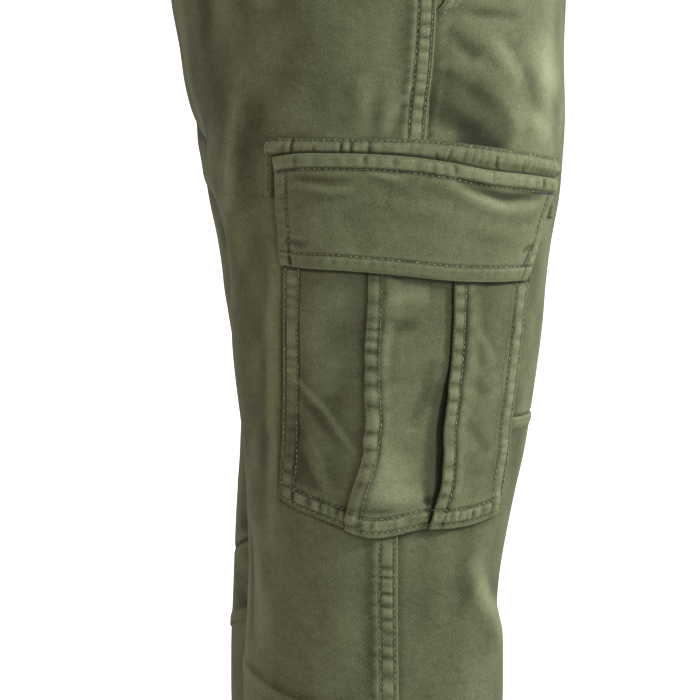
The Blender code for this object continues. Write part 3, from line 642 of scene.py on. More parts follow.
def cloth_sheet(
    node, outer, inner, up, across, standing, material, held, rests_on, turn=1, rub_and_shade=0.0, painted_light_and_shade=0.0
):
    """Makes the sheet that takes a node's place, and maps its flat cut.

    outer and inner are grids of points, up and across their places on the flat cut in metres, which turn
    mirrors, and standing is the height of the outer face. The last two arguments add to the tone: the first
    is
    1 on an edge that everything rubs pale, more where it is paler still, and -1 where shade is painted, in a
    fold or beside a piece that keeps the light out; the second is painted light and shade.
    """
    rows, columns = standing.shape
    count = rows * columns
    face = grid_faces(rows, columns)
    a, b, c = (outer.reshape(-1, 3)[face[len(face) // 2, k]] for k in (0, 1, 2))
    outwards = a - inner.reshape(-1, 3)[face[len(face) // 2, 0]]
    index = np.arange(count).reshape(rows, columns)
    rim = np.concatenate([index[0, :-1], index[:-1, -1], index[-1, :0:-1], index[:0:-1, 0]])
    following = np.roll(rim, -1)
    wall = np.stack([following, rim, rim + count, following + count], -1)
    if np.dot(np.cross(b - a, c - b), outwards) < 0:
        face, wall = face[:, ::-1], wall[:, ::-1]
    points = np.concatenate([outer.reshape(-1, 3), inner.reshape(-1, 3)])
    made = make_mesh(f"{node}_cloth", points, np.concatenate([face, face[:, ::-1] + count, wall]), material)
    flat = (np.stack([turn * across, up], -1) * 1000).reshape(-1, 2)
    flat_map(made.data, np.concatenate([flat, flat]))
    # A ridge is paler from wear, and a hollow is darker as painted shade. Edges rubbed pale, and painted
    # shade in folds and beside other pieces, come in from the caller.
    proud = standing - spread(standing)
    wear_and_shade = np.clip(proud * np.where(proud < 0, CREVICE_SHADE_GAIN, WEAR_GAIN), -SHADE_DEPTH, RUBBED)
    rub_and_shade_tone = rub_and_shade * np.where(np.asarray(rub_and_shade) > 0, RUBBED, SHADE_DEPTH)
    wear_and_shade = (wear_and_shade * np.clip(1 - np.abs(rub_and_shade), 0, 1) + rub_and_shade_tone + painted_light_and_shade).reshape(-1)
    layer = made.data.attributes.new("wear_and_shade", "FLOAT", "POINT")
    layer.data.foreach_set("value", np.concatenate([wear_and_shade, 0 * wear_and_shade]).astype(np.float32))
    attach(made, "root")
    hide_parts(node)
    return made


# %% [markdown]
# ## The trouser panels
#
# Each leg has four panels: a front and a back, each cut across, above the knee at
# the front and just below it at the back. The backs lap over the fronts at the
# side seam. There the edge is folded in, so it is twice as thick, and two rows of
# topstitch hold it down and pucker it. The same goes for the slant of the pocket,
# while the seams at the knee are plain ones, turned in and pressed. Where the
# cargo pocket lies over the leg, the panel stays smooth.

# %% Where the cargo pocket covers the leg
STRIP_TOP, STRIP_HEIGHT, STRIP_BACK, STRIP_FRONT = 0.252, 0.038, -0.103, 0.111
CARGO_FALL, CARGO_BEND = 0.14, 0.02
FLAP_HEIGHT = 0.071
FLAP_BACK_TOP, FLAP_BACK_FOOT, FLAP_FRONT_TOP, FLAP_FRONT_FOOT = -0.0965, -0.0860, 0.1025, 0.0785
FLAP_STAND = 0.0026
FLAP_RISE_SHARE = 0.6
POCKET_TOP = 0.320
PLEAT_UNDERLAY = 0.011

POCKET_ROWS = table("z back pleat_1 pleat_2 front", [
    (-0.320, -0.0860, -0.0290, 0.0240, 0.0860),
    (-0.360, -0.0840, -0.0280, 0.0255, 0.0845),
    (-0.400, -0.0815, -0.0265, 0.0260, 0.0825),
    (-0.436, -0.0795, -0.0225, 0.0240, 0.0805),
    (-0.458, -0.0788, -0.0245, 0.0250, 0.0805),
    (-0.480, -0.0793, -0.0297, 0.0240, 0.0775),
    (-0.505, -0.0795, -0.0335, 0.0185, 0.0765),
])
POCKET_FOOT = table("s z", [
    (-0.0795, -0.4825), (-0.0475, -0.4945), (-0.0180, -0.5050), (0.0180, -0.5005),
    (0.0460, -0.4995), (0.0780, -0.4940),
])
FLAP_TOP = table("s z", [
    (-0.0965, -0.2644), (-0.0815, -0.2622), (-0.0590, -0.2618), (-0.0395, -0.2621),
    (-0.0070, -0.2644), (0.0190, -0.2685), (0.0390, -0.2726), (0.0700, -0.2764), (0.1020, -0.2801),
])
FLAP_FOOT = table("s z", [
    (-0.0862, -0.3325), (-0.0700, -0.3336), (-0.0430, -0.3347), (-0.0240, -0.3362),
    (0.0000, -0.3388), (0.0230, -0.3414), (0.0450, -0.3426), (0.0790, -0.3436),
])


print("pocket:", len(POCKET_ROWS), "levels, the flap", len(FLAP_TOP), "places along its top")


# %% Find what the strip, the flap and the pocket cover
def outline(rows):
    return lambda s: smooth(rows, "s", "z", s)


pocket_foot, flap_top, flap_foot = outline(POCKET_FOOT), outline(FLAP_TOP), outline(FLAP_FOOT)


def pocket_line(name, z):
    return smooth(POCKET_ROWS, "z", name, z)


def cargo_line(depth, s):
    return -depth - CARGO_FALL * (s + np.hypot(s, CARGO_BEND)) / 2


def covered(z, s):
    """1 where the strip, the flap or the pocket lies over the leg, fading to 0 just outside them."""
    below = smoothstep((cargo_line(STRIP_TOP, s) - z + 0.001) / 0.004)
    foot = pocket_foot(s)
    above = smoothstep((z - foot + 0.001) / 0.004)
    low = z < -POCKET_TOP
    back = np.where(low, pocket_line("back", z), STRIP_BACK)
    front = np.where(low, pocket_line("front", z), STRIP_FRONT)
    return below * above * smoothstep((s - back + 0.003) / 0.004) * smoothstep((front - s + 0.003) / 0.004)


def beside_cargo(z, s):
    """1 on the leg right against the edge of the flap or the pocket, where hardly any light comes in."""
    span = (-FLAP_HEIGHT - 0.264, -0.264)
    by_flap = z > FLAP_FOOT[0].z
    flap_back = np.interp(z, span, (FLAP_BACK_FOOT, FLAP_BACK_TOP))
    flap_front = np.interp(z, span, (FLAP_FRONT_FOOT, FLAP_FRONT_TOP))
    back = np.where(by_flap, flap_back, pocket_line("back", z))
    front = np.where(by_flap, flap_front, pocket_line("front", z))
    away = np.maximum(np.maximum(back - s, s - front), pocket_foot(s) - z)
    return bell(np.clip(away, 0, None), 0.0017) * (z < flap_top(s))


share = float(covered(np.array(-0.4), np.array(0.0)))
print("the pocket covers", round(share, 2), "of the side seam at its middle")

# %% [markdown]
# Broad light and shade are painted into the tone as well: painted light on the
# rounds of the thigh and the flap, and painted shade in a large hollow. These
# patches are broad and have no edge, all but one: the painted shade in the hollow
# under the fold that runs down from the slant pocket is darkest right below the fold.

# %% Painted light and shade in broad patches
# Soft ovals: s, z, half width and half height in mm, and tone.
LIGHT_AND_SHADE_PATCHES = {
    "right": [
        (93, -220, 18, 36, 0.30),
        (-152, -228, 22, 36, -0.15),
        (-143, -290, 9, 28, 0.15),
        (24, -552, 24, 42, -0.08),
        (-112, -570, 16, 60, 0.13),
        (-98, -428, 12, 44, -0.08),
    ],
    "left": [
        (90, -224, 18, 34, 0.16),
        (-150, -240, 24, 44, -0.08),
        (30, -560, 30, 46, -0.06),
        (-150, -560, 30, 60, -0.04),
    ],
}
THIGH_HOLLOW = table("s z", [
    (0.0000, -0.2050), (0.0156, -0.2093), (0.0358, -0.2200), (0.0540, -0.2307), (0.0620, -0.2414),
    (0.0700, -0.2560),
])
HOLLOW_SHADE = -0.17


def painted_patches(patches, z, s):
    tone = np.zeros_like(z)
    for middle, level, across, down, depth in patches:
        tone += depth * np.exp(-(((s * 1000 - middle) / across) ** 2) - ((z * 1000 - level) / down) ** 2)
    return tone


def thigh_hollow_shade(z, s):
    """1 where shade is painted in the hollow below the fold, from the side seam to where the fold ends."""
    below = smooth(THIGH_HOLLOW, "s", "z", s) - z
    up_and_down = smoothstep(below / 0.005) * smoothstep((0.044 - below) / 0.020)
    return up_and_down * smoothstep((0.067 - s) / 0.012) * smoothstep(s / 0.004)


print("patches:", {side: len(rows) for side, rows in LIGHT_AND_SHADE_PATCHES.items()})

# %% The small creases of each leg
SHARED_CREASES = [
    (9, -2.2, (255, -268), (205, -243), (150, -232)),
    (7, 1.6, (258, -282), (200, -262), (150, -262)),
    (8, -1.8, (232, -205), (190, -214), (150, -205)),
    (9, -2.4, (-262, -296), (-210, -262), (-160, -250)),
    (8, 2.0, (-255, -318), (-205, -290), (-168, -286)),
    (9, -1.8, (-236, -350), (-200, -330), (-165, -332)),
    (8, -2.0, (-232, -520), (-190, -536), (-150, -528)),
    (8, 1.8, (-225, -545), (-185, -560), (-145, -552)),
    (9, -1.8, (-228, -578), (-180, -588), (-140, -575)),
    (10, 1.6, (150, -452), (180, -470), (215, -466)),
    (9, -1.6, (140, -480), (175, -494), (210, -500)),
    (12, -2.2, (-30, -700), (-45, -770), (-40, -830)),
    (12, 1.6, (60, -680), (66, -760), (58, -840)),
    (10, 2.4, (180, -905), (110, -925), (40, -955)),
    (9, -2.0, (170, -930), (100, -950), (20, -968)),
    (9, 2.2, (-160, -915), (-90, -935), (-20, -925)),
    (8, -2.2, (-150, -940), (-80, -955), (-10, -950)),
    (7, 1.6, (-140, -985), (-70, -1000), (0, -992)),
    (7, -1.4, (150, -1000), (90, -1008), (30, -1000)),
    (12, 1.2, (-60, -70), (-90, -120), (-120, -170)),
    (14, -1.2, (-150, -90), (-165, -140), (-170, -200)),
    (9, -1.5, (150, -90), (170, -120), (215, -150)),
]
RIGHT_CREASES = [
    (7, 1.5, (14, -178), (35, -190), (56, -213), (70, -234), (97, -255)),
    (8, 2.4, (6, -200), (20, -206), (38, -215), (54, -225), (64, -238), (70, -250)),
    (4.5, -0.9, (8, -170), (24, -174), (48, -176), (66, -178)),
    (5, -0.9, (6, -183), (17, -190), (29, -203)),
    (12, -4.4, (-16, -226), (4, -237), (24, -247), (42, -257), (52, -266)),
    (13, -1.8, (62, -214), (84, -224), (100, -231), (122, -240)),
    (6, 0.9, (-46, -212), (-39, -230), (-41, -250)),
    (4.5, -0.9, (-12, -204), (-17, -226), (-13, -248)),
    (4, 0.8, (-26, -230), (-25, -252)),
    (4.5, 1.3, (-130, -222), (-129, -248), (-134, -272), (-139, -300)),
    (9, -0.5, (-114, -240), (-115, -270), (-112, -300)),
    (6, 1.2, (-96, -300), (-92, -350), (-89, -407), (-86, -470), (-88, -520)),
    (12, 0.8, (-104, -180), (-100, -219), (-80, -244)),
    (8, 1.6, (52, -520), (66, -545), (88, -566), (118, -590)),
    (16, 2.0, (58, -540), (88, -572), (122, -598)),
    (5, -1.0, (-128, -500), (-122, -540), (-118, -580)),
]
LEFT_CREASES = [
    (7, 1.4, (14, -186), (40, -196), (66, -218), (92, -246)),
    (7, -1.8, (6, -214), (30, -222), (60, -236), (80, -252)),
    (5, 1.0, (-128, -230), (-132, -262), (-140, -300)),
    (6, -1.2, (-118, -246), (-117, -300)),
    (8, 1.4, (50, -526), (84, -560), (112, -584)),
    (1.8, -1.5, (-190, -532), (-152, -543), (-124, -552)),
]
CREASES = {"right": SHARED_CREASES + RIGHT_CREASES, "left": SHARED_CREASES + LEFT_CREASES}
SEEDS = {"right": 11, "left": 47}
LUMPS = ((0.0009, 0.45, 0.045), (0.00035, 0.60, 0.016))  # height, breadth over length, grain


def leg_relief(side, front, z, s):
    """Everything finer than the large folds: small creases, and the slight unevenness of worn cloth."""
    height = crease_height(CREASES[side], z, s)
    for layer, (high, slim, grain) in enumerate(LUMPS):
        height += high * cloth_noise(slim * z, s, grain, SEEDS[side] + layer)
    open_cloth = 1 - covered(z, s)
    to_inner = np.abs(edge_at(z, front) - s)
    return height * open_cloth * smoothstep(to_inner / 0.014)


print("creases:", {side: len(rows) for side, rows in CREASES.items()})


# %% Folded edges, seams and hems
ROW_WIDTH = 0.0009  # half the width of the groove that a row of stitches lies in


def lapped_edge(distance, rows, rise, width, sunk=0.0008):
    """How much a folded-in edge adds, by the distance from its fold. sunk is how deep its rows lie."""
    rim = np.sqrt(np.clip(distance / 0.0009, 0.02, 1))
    height = rise * rim * (1 - smoothstep((distance - width) / 0.0035))
    for row in rows:
        height -= sunk * bell(distance - row, ROW_WIDTH)
    return np.where(distance > -0.0005, height, 0.0)


def near_edge(distance, width=0.0011):
    """How near a place is to a fold or an edge: 1 on it. It marks where cloth is rubbed pale, and on the
    strip it bounds the painted shade above the flap.
    """
    return bell(distance, width)


def between(distance, start, end, blur=0.0015):
    return smoothstep((distance - start) / blur) * smoothstep((end - distance) / blur)


SIDE_ROWS = (0.0024, 0.0114)
MOUTH_ROWS = (0.0018, 0.0075)
RISE_ROWS = (0.0022, 0.0085)
HEM_ROW = 0.0185


def mouth_edge(z):
    """The front's outer edge: the side seam, cut away along the slant pocket."""
    share = (z + MOUTH_DEPTH) / (MOUTH_DEPTH - WAISTBAND_HEIGHT)
    slant = MOUTH_FOOT + share * (MOUTH_TOP - MOUTH_FOOT)
    turn = z + MOUTH_DEPTH + MOUTH_FOOT
    return np.where(z > -MOUTH_DEPTH, slant, np.clip(turn, 0.0, None))


def back_seam_shift(z, s):
    shift = -BACK_SEAM_TILT * (s - BACK_MIDDLE)
    reach = np.where(z > -BACK_SEAM_DEPTH, *BACK_SEAM_REACH)
    return shift * np.clip(1 - np.abs(z + BACK_SEAM_DEPTH) / reach, 0, 1)


def hem_pull(side, z, s):
    """The hem's row of stitch and the diagonal puckers that it draws."""
    up = z + HEM_DEPTH
    roped = puckers(s + 0.7 * up, 0.0085, SEEDS[side] + 20)
    height = 0.0006 * roped * between(up, 0.002, HEM_ROW + 0.001, 0.003)
    return height - 0.0004 * bell(up - HEM_ROW, 0.001)


print("rows of side stitch, from the fold:", SIDE_ROWS)


# %% Add up a panel's edges
def edge_build(panel_name, side, z, s):
    """What folded edges, seams and rows of stitch add to a panel's outer face."""
    front, lower = panel_name.startswith("front"), panel_name.endswith("lower")
    open_cloth = 1 - covered(z, s)
    height = hem_pull(side, z, s) if lower else np.zeros_like(z)
    seed = SEEDS[side] + 30
    if front and not lower:
        distance = s - mouth_edge(z)
        above = smoothstep((z + MOUTH_DEPTH + MOUTH_FOOT) / 0.004)
        height += above * lapped_edge(distance, MOUTH_ROWS, 0.0009, 0.009)
        height += above * 0.0005 * puckers(z, 0.008, seed) * between(distance, 0.001, 0.009)
        height -= open_cloth * 0.0012 * bell(z + KNEE_SEAM_DEPTH, 0.0018)
    if front and lower:
        distance = -KNEE_SEAM_DEPTH - z
        height += open_cloth * lapped_edge(distance, (), 0.0009, 0.004)
        height += open_cloth * 0.0007 * puckers(s, 0.0065, seed + 2) * between(distance, 0.002, 0.012, 0.004)
    if not front:
        distance = -s
        sunk = 0.0008 - 0.0005 * smoothstep((-0.49 - z) / 0.01)
        height += lapped_edge(distance, SIDE_ROWS, 0.0011, 0.0128, sunk) * (1 - 0.75 * covered(z, s))
        ladder = puckers(z + 0.12 * s, 0.0088, seed + 4, 1.4)
        held = between(distance, 0.0028, 0.0112) + 0.45 * between(distance, 0.0116, 0.0185, 0.004)
        near_strip = 1 - 0.55 * smoothstep((z + 0.20) / 0.07)
        height += open_cloth * near_strip * 0.0021 * ladder * held
        if not lower:
            distance = z - back_seam_shift(z, s) + BACK_SEAM_DEPTH
            height += lapped_edge(distance, (), 0.0010, 0.007)
    if front:
        # Beside the thick lapped seam, the front dips.
        deeper = 0.0007 + 0.0011 * smoothstep((-0.195 - z) / 0.05) * (z > -STRIP_TOP)
        height -= open_cloth * deeper * bell(s, 0.0042) * (z < -MOUTH_DEPTH)
    to_inner = np.abs(edge_at(z, front) - s)
    height -= SEAM_DIP * bell(to_inner, 0.0022)
    if side == "left" and not lower:
        rise = smoothstep((z + CROTCH_DEPTH - 0.004) / 0.01)
        rows = sum(0.0004 * bell(to_inner - row, ROW_WIDTH) for row in RISE_ROWS)
        height += rise * (0.0006 * between(to_inner, 0.0015, 0.010) - rows)
        height += rise * 0.0005 * puckers(z, 0.0075, seed + 6) * between(to_inner, 0.002, 0.009)
    return height


probe = edge_build("back_upper", "right", np.array([-0.2]), np.array([-0.006]))
print("between the rows of the side seam the cloth rises", round(float(probe[0]) * 1000, 1), "mm")

# %% Rows and columns of a panel
NEAR_FOLD = np.array([0, 0.35, 0.9, 1.6, 2.2, 2.8, 4, 5.8, 7.8, 9.4, 10.5, 11.2, 11.9, 13.2, 15, 17]) / 1000
NEAR_INSIDE = np.array([5.0, 2.6, 1.0, 0.0]) / 1000


def panel_columns(start, end, count):
    """Distances of a panel's columns: close together at the fold, wider towards the inseam."""
    sign = math.copysign(1, end)
    first, last = NEAR_FOLD[-1], abs(end - start) - 0.0065
    u = np.linspace(0, 1, count)
    spread_out = first + (last - first) * (u + 0.8 * u * u) / 1.8
    apart = np.concatenate([NEAR_FOLD[:-1], spread_out, abs(end - start) - NEAR_INSIDE])
    return start + sign * apart


def panel_levels(top, foot, step, fold_at_top=False, fold_at_foot=False):
    near = NEAR_FOLD[:10]
    levels = np.linspace(top, foot, 1 + round((top - foot) / step))
    if fold_at_top:
        levels = np.concatenate([top - near, levels[levels < top - near[-1] - step / 2]])
    if fold_at_foot:
        levels = np.concatenate([levels[levels > foot + near[-1] + step / 2], foot + near[::-1]])
    return levels


def turned_hem():
    """(z, lift) of the rows that turn the hem in."""
    radius = (CLOTH + SEAM_GAP) / 2
    start = -HEM_DEPTH + CLOTH / 2 + radius
    turns = np.linspace(0, math.pi, 7)
    bend = [(start - radius * math.sin(turn), -radius * (1 - math.cos(turn))) for turn in turns]
    up = np.linspace(start, -HEM_DEPTH + HEM_TURN, 6)[1:]
    return bend + [(z, -2 * radius) for z in up]


print("a hem is turned in", len(turned_hem()), "rows")


# %% Make the eight panels
def trouser_panel(panel_name, side, levels, columns, tuck):
    """tuck is how far the panel runs on under its neighbour at the side seam."""
    front, lower = panel_name.startswith("front"), panel_name.endswith("lower")
    rows = [(z, 0.0) for z in levels]
    if lower:
        rows = [row for row in rows if row[0] > -HEM_DEPTH + 0.003] + turned_hem()
    level, turn = (np.array(column) for column in zip(*rows))
    start = mouth_edge(level) if panel_name == "front_upper" else np.zeros_like(level)
    start = start + (-tuck if front else tuck) * (start < 1e-6)
    ends = edge_at(level, front)
    s = np.array([panel_columns(a, b, columns) for a, b in zip(start, ends)])
    z = np.repeat(level[:, None], s.shape[1], axis=1)
    lift = np.repeat(turn[:, None], s.shape[1], axis=1)
    if not front:
        z = z + back_seam_shift(z, s)
    relief = leg_relief(side, front, z, s)
    extra = edge_build(panel_name, side, z, s)
    if lower:
        extra = np.where(lift < -CLOTH / 2, 0.0, extra)
    outer = leg_face(side, z, s, lift + relief + CLOTH / 2 + extra)
    inner = leg_face(side, z, s, lift + relief - CLOTH / 2)
    length = -level + (2 * (turn != 0) * (level + HEM_DEPTH)) if lower else -level
    up = np.repeat(-length[:, None], s.shape[1], axis=1)
    if not front:
        from_fold = -s
    elif lower:
        from_fold = -KNEE_SEAM_DEPTH - z
    else:
        from_fold = s - mouth_edge(z) + FAR_OFF * (z < -MOUTH_DEPTH)
    # Fold edges rubbed pale by wear, and painted shade on the leg right beside the flap and the pocket.
    rub_and_shade = 0.7 * near_edge(from_fold) * (1 - covered(z, s)) - 0.8 * beside_cargo(z, s)
    # Broad patches of painted light and shade, and painted shade in the hollow below the thigh's fold.
    painted_light_and_shade = painted_patches(LIGHT_AND_SHADE_PATCHES[side], z, s) + front * HOLLOW_SHADE * thigh_hollow_shade(z, s)
    return cloth_sheet(
        f"{panel_name}_{side}", outer, inner, up, s, relief + extra, leg_twill, "stretched", ["waistband"],
        turn=-SIDES[side], rub_and_shade=rub_and_shade, painted_light_and_shade=painted_light_and_shade,
    )


PANEL_TOP = -WAISTBAND_HEIGHT - SEAM_GAP / 2
TUCK = 0.0020
FINE_ROW, COARSE_ROW = 0.0017, 0.0022
PANELS = {
    "front_upper": (panel_levels(PANEL_TOP, -KNEE_SEAM_DEPTH - TUCK, FINE_ROW), 46, TUCK),
    "front_lower": (panel_levels(-KNEE_SEAM_DEPTH, -HEM_DEPTH, COARSE_ROW, fold_at_top=True), 38, TUCK),
    "back_upper": (panel_levels(PANEL_TOP, -BACK_SEAM_DEPTH, FINE_ROW, fold_at_foot=True), 56, 0.0),
    "back_lower": (panel_levels(-BACK_SEAM_DEPTH + TUCK, -HEM_DEPTH, COARSE_ROW), 38, 0.0),
}
panels = {(name, side): trouser_panel(name, side, *cut) for side in SIDES for name, cut in PANELS.items()}


def uppers(side):
    return [panels["front_upper", side], panels["back_upper", side]]


# %% [markdown]
# ## The strip above the cargo pocket
#
# A folded strip of the same cloth covers the pocket's upper edge. It is sewn down
# along its own edge, and its lower half lies under the flap. Between the stitches
# and the flap it puffs up, broken by short upright puckers that the flap's seam
# pulls into it. It is a plain grid, like a panel, laid on the leg.


# %% Rims and grooves
def levels_near(fine, coarse):
    """Joins two series of distances, in mm, into metres."""
    return np.concatenate([fine, coarse]) / 1000


def rim_drop(distance, width, drop):
    """How far an outer face comes down to meet the edge, in a quarter round."""
    return drop * (1 - np.sqrt(np.clip(distance / width, 0.0, 1.0)))


def groove(distance, depth=0.0008, width=0.0010):
    return -depth * bell(distance, width)


print("a groove is", -round(float(groove(0.0)) * 1000, 1), "mm deep")

# %% Make the strips
STRIP_ROW = 0.0013
STRIP_END_ROW = 0.0026
STRIP_DOWN = levels_near(np.arange(0, 14, 0.75), [14.5, 16.5, 19, 22, 25.5, 29, 32.5, 35, 36.6, 37.5, 38])
STRIP_CREASES = {
    "right": [
        (1.2, -1.3, (-84, -252), (-84, -265)),
        (1.0, -0.9, (-71, -256), (-70, -265)),
        (1.0, -1.1, (-54, -253), (-53, -265)),
        (1.2, -1.2, (-47.6, -254), (-47, -265)),
        (1.1, -1.4, (-36.5, -252), (-36, -266)),
        (1.0, -0.9, (6, -260), (8, -268)),
        (1.1, -1.0, (16, -259), (14, -268)),
        (1.3, -1.0, (46, -264), (50, -275)),
        (1.2, -0.8, (68, -267), (69, -278)),
    ],
    "left": [
        (1.1, -1.2, (-78, -252), (-77, -265)),
        (1.2, -1.1, (-62, -253), (-63, -265)),
        (1.1, -1.3, (-30, -253), (-29, -266)),
        (1.2, -1.1, (22, -260), (20, -270)),
        (1.2, -0.9, (58, -265), (60, -276)),
    ],
}


def strip_relief(side, down, s):
    end = np.minimum(s - STRIP_BACK, STRIP_FRONT - s)
    border = np.minimum(np.minimum(down, STRIP_HEIGHT - down), end)
    seed = SEEDS[side] + 60
    puff = between(down, 0.0014, 0.0120, 0.0045)
    height = 0.0019 * puff * (0.8 + 0.4 * cloth_noise(down, s, 0.009, seed))
    height += 0.00055 * puckers(s + 0.15 * down, 0.0062, seed + 1) * between(down, 0.0014, 0.013)
    height += crease_height(STRIP_CREASES[side], cargo_line(STRIP_TOP, s) - down, s)
    height += groove(down - STRIP_ROW) + groove(end - STRIP_END_ROW)
    height += 0.0004 * puckers(down, 0.006, seed + 2) * between(end, 0.0005, 0.008)
    return height - rim_drop(border, 0.0012, 0.0006)


strips = {}
for side in SIDES:
    columns = np.linspace(STRIP_BACK, STRIP_FRONT, 185)
    s, down = np.meshgrid(columns, STRIP_DOWN)
    z = cargo_line(STRIP_TOP, s) - down
    relief = strip_relief(side, down, s)
    outer = leg_face(side, z, s, LAY + BAG_CLOTH + relief)
    inner = leg_face(side, z, s, LAY + np.minimum(relief, 0.0))
    # Painted shade on the strip just above the flap's top, along the flap's span.
    above_flap = z - flap_top(s)
    past_flap = np.clip(np.maximum(FLAP_BACK_TOP - s, s - FLAP_FRONT_TOP), 0, None)
    rub_and_shade = -0.9 * smoothstep((0.0026 - above_flap) / 0.0018) * near_edge(past_flap, 0.0020)
    strips[side] = cloth_sheet(
        f"cargo_strip_{side}", outer, inner, z, s, relief, trim_twill, "laid", uppers(side),
        turn=-SIDES[side], rub_and_shade=rub_and_shade,
    )

# %% [markdown]
# ## The cargo pocket
#
# The bag is one layer with two knife pleats. At each pleat the cloth turns under,
# comes back and turns again, so its fold faces the back of the leg. The fold is
# edge-stitched, so it stays crisp after washing, and it stands away from the cloth
# below it in a narrow gap, darkened with painted shade. Each row of the grid is
# therefore not a straight line but a folded path, and the wall's thickness is set off square to that path.
# Both sides and the foot are folded in and sewn twice.

# %% Measures of the pocket's folds
POCKET_RISE = (0.0024, 0.0034, 0.0018)  # how far each of its three fields bellies out
POCKET_PEAK = (0.76, 0.55, 0.60)
# How far the folds stand off the cloth below, in mm, from the pocket's top down.
PLEAT_STANDS = table("share first second", [
    (0.00, 0.0, 0.0), (0.10, 1.4, 0.4), (0.25, 3.0, 0.6), (0.42, 3.6, 1.2), (0.55, 4.4, 4.0),
    (0.80, 4.6, 4.4), (0.92, 2.8, 2.4), (1.00, 0.0, 0.0),
])
# How wide the painted shade is, in metres, in the slit before each fold.
SLIT_SHADE = (0.0010, 0.0007)
PLEAT_PUCKERS = (0.0021, 0.0013)
PLEAT_PALE = 1.5
PLEAT_ROWS = (0.0084, 0.0070)  # edge stitch, from the fold
POCKET_SIDE_ROWS = (0.0025, 0.0125)
POCKET_FOOT_ROWS = (0.0032, 0.0124)
FIELD_COLUMNS = (36, 34, 36)
PLEAT_TURN = 0.0245  # past the fold, the upper layer is back on the leg here

POCKET_CREASES = {
    "right": [
        (18, 2.2, (-16, -404), (-17, -446), (-16, -488)),
        (1.9, 0.8, (-83, -386), (-75, -400), (-68, -406), (-52, -418), (-38, -438), (-24, -458)),
        (3.4, -0.6, (-78, -408), (-64, -416), (-50, -430), (-36, -452)),
        (1.6, 0.6, (-58, -440), (-52, -452), (-46, -462)),
        (9, 0.9, (-66, -345), (-62, -380), (-50, -420)),
        (6, -0.9, (-74, -420), (-62, -446), (-50, -476)),
        (4, 1.0, (-66, -440), (-52, -462), (-40, -480)),
        (6, -0.9, (-20, -366), (-6, -371), (6, -369)),
        (6, 1.2, (-16, -349), (-4, -352), (10, -350)),
        (4, 1.0, (-12, -366), (-16, -385), (-18, -405)),
        (7, -1.3, (16, -392), (12, -412), (4, -436)),
        (8, 1.7, (-26, -476), (-6, -480), (16, -478)),
        (9, -1.5, (-71, -425), (-66, -450), (-60, -478)),
        (5, 1.0, (38, -350), (40, -390), (42, -420)),
        (4, 0.9, (42, -372), (50, -386), (58, -398)),
        (6, -0.9, (36, -400), (46, -412), (58, -416)),
        (5, -0.8, (38, -430), (50, -440), (60, -452)),
        (3.5, -1.2, (-40, -488), (-34, -484), (-28, -490)),
        (3.5, -1.2, (14, -480), (20, -484), (26, -478)),
    ],
    "left": [
        (2.4, 1.3, (-80, -430), (-62, -420), (-44, -402), (-34, -380)),
        (8, 0.9, (-64, -350), (-58, -400), (-60, -450)),
        (6, -1.0, (-10, -372), (2, -380), (12, -378)),
        (5, 0.9, (-6, -400), (-10, -430), (-4, -460)),
        (5, 0.9, (46, -360), (44, -400), (50, -440)),
        (6, -0.9, (56, -395), (60, -430)),
    ],
}


print("creases of the bag:", {side: len(rows) for side, rows in POCKET_CREASES.items()})


# %% Shape the fields between the pleats
def field_lift(field, s, start, end, gape):
    """Height of one field of the bag over the leg, up to the middle of its cloth."""
    share = np.clip((s - start) / (end - start), 0, 1)
    lift = POCKET_RISE[field] * np.sin(math.pi * share ** POCKET_PEAK[field]) ** 2
    if field:
        past = s - start
        step = 2 * (BAG_CLOTH + SEAM_GAP)
        lift += step * (1 - smoothstep((past - PLEAT_ROWS[field - 1] - 0.002) / (PLEAT_TURN - 0.011)))
        lift += gape * (1 - smoothstep(past / 0.019))
    return lift


def field_columns(start, end, count):
    """Distances across a field of the bag, close together at both of its folds."""
    near, far = np.array([0, 0.5, 1.1, 1.8]) / 1000, np.array([3.0, 2.3, 1.7, 1.2, 0.7, 0.3, 0]) / 1000
    return np.concatenate([start + near, np.linspace(start + 0.0027, end - 0.004, count - 11), end - far])


def pleat_ladder(side, field, z, past):
    """The puckers between a pleat's fold and its edge stitch."""
    return puckers(z + 0.1 * past, 0.0112, SEEDS[side] + 83 + 7 * field, 1.2)


print("columns of a field:", [len(field_columns(0.0, 0.05, count)) for count in FIELD_COLUMNS])


# %% Add up the relief of the bag's face
def pocket_relief(side, field, z, s, back, front, folds):
    """Seams, puckers and creases of the pocket's face."""
    seed = SEEDS[side] + 80 + 7 * field
    foot = z - pocket_foot(s)
    edge = np.minimum(s - back, front - s)
    height = crease_height(POCKET_CREASES[side], z, s)
    height += 0.0007 * cloth_noise(z, s, 0.022, seed)
    side_seam = between(edge, 0.0030, 0.0122, 0.002)
    height += 0.0014 * puckers(z + 0.1 * s, 0.0090, seed + 1, 1.1) * side_seam
    foot_seam = between(foot, 0.0036, 0.0120, 0.002) * smoothstep(edge / 0.006)
    height += 0.0019 * puckers(s, 0.0074, seed + 2) * foot_seam
    height += 0.0004 * puckers(s, 0.0074, seed + 2) * between(foot, 0.0126, 0.019, 0.004)
    if field:
        past = s - folds[field - 1]
        row = PLEAT_ROWS[field - 1]
        ladder = pleat_ladder(side, field, z, past)
        height += PLEAT_PUCKERS[field - 1] * ladder * smoothstep((row - past) / 0.0028)
        height += 0.0006 * ladder * between(past, row, row + 0.007, 0.003)
        height += groove(past - row)
    turned_in = [0.0005 * (1 - smoothstep((inside - 0.0125) / 0.004)) for inside in (edge, foot)]
    height += turned_in[0] + turned_in[1]
    for row in POCKET_SIDE_ROWS:
        height += groove(edge - row)
    for row in POCKET_FOOT_ROWS:
        height += groove(foot - row)
    held = smoothstep(np.minimum(edge, foot) / 0.007)
    return height * (0.25 + 0.75 * held) - rim_drop(np.minimum(edge, foot), 0.0013, 0.0005)


print("its foot is sewn", [round(row * 1000, 1) for row in POCKET_FOOT_ROWS], "mm above the fold")


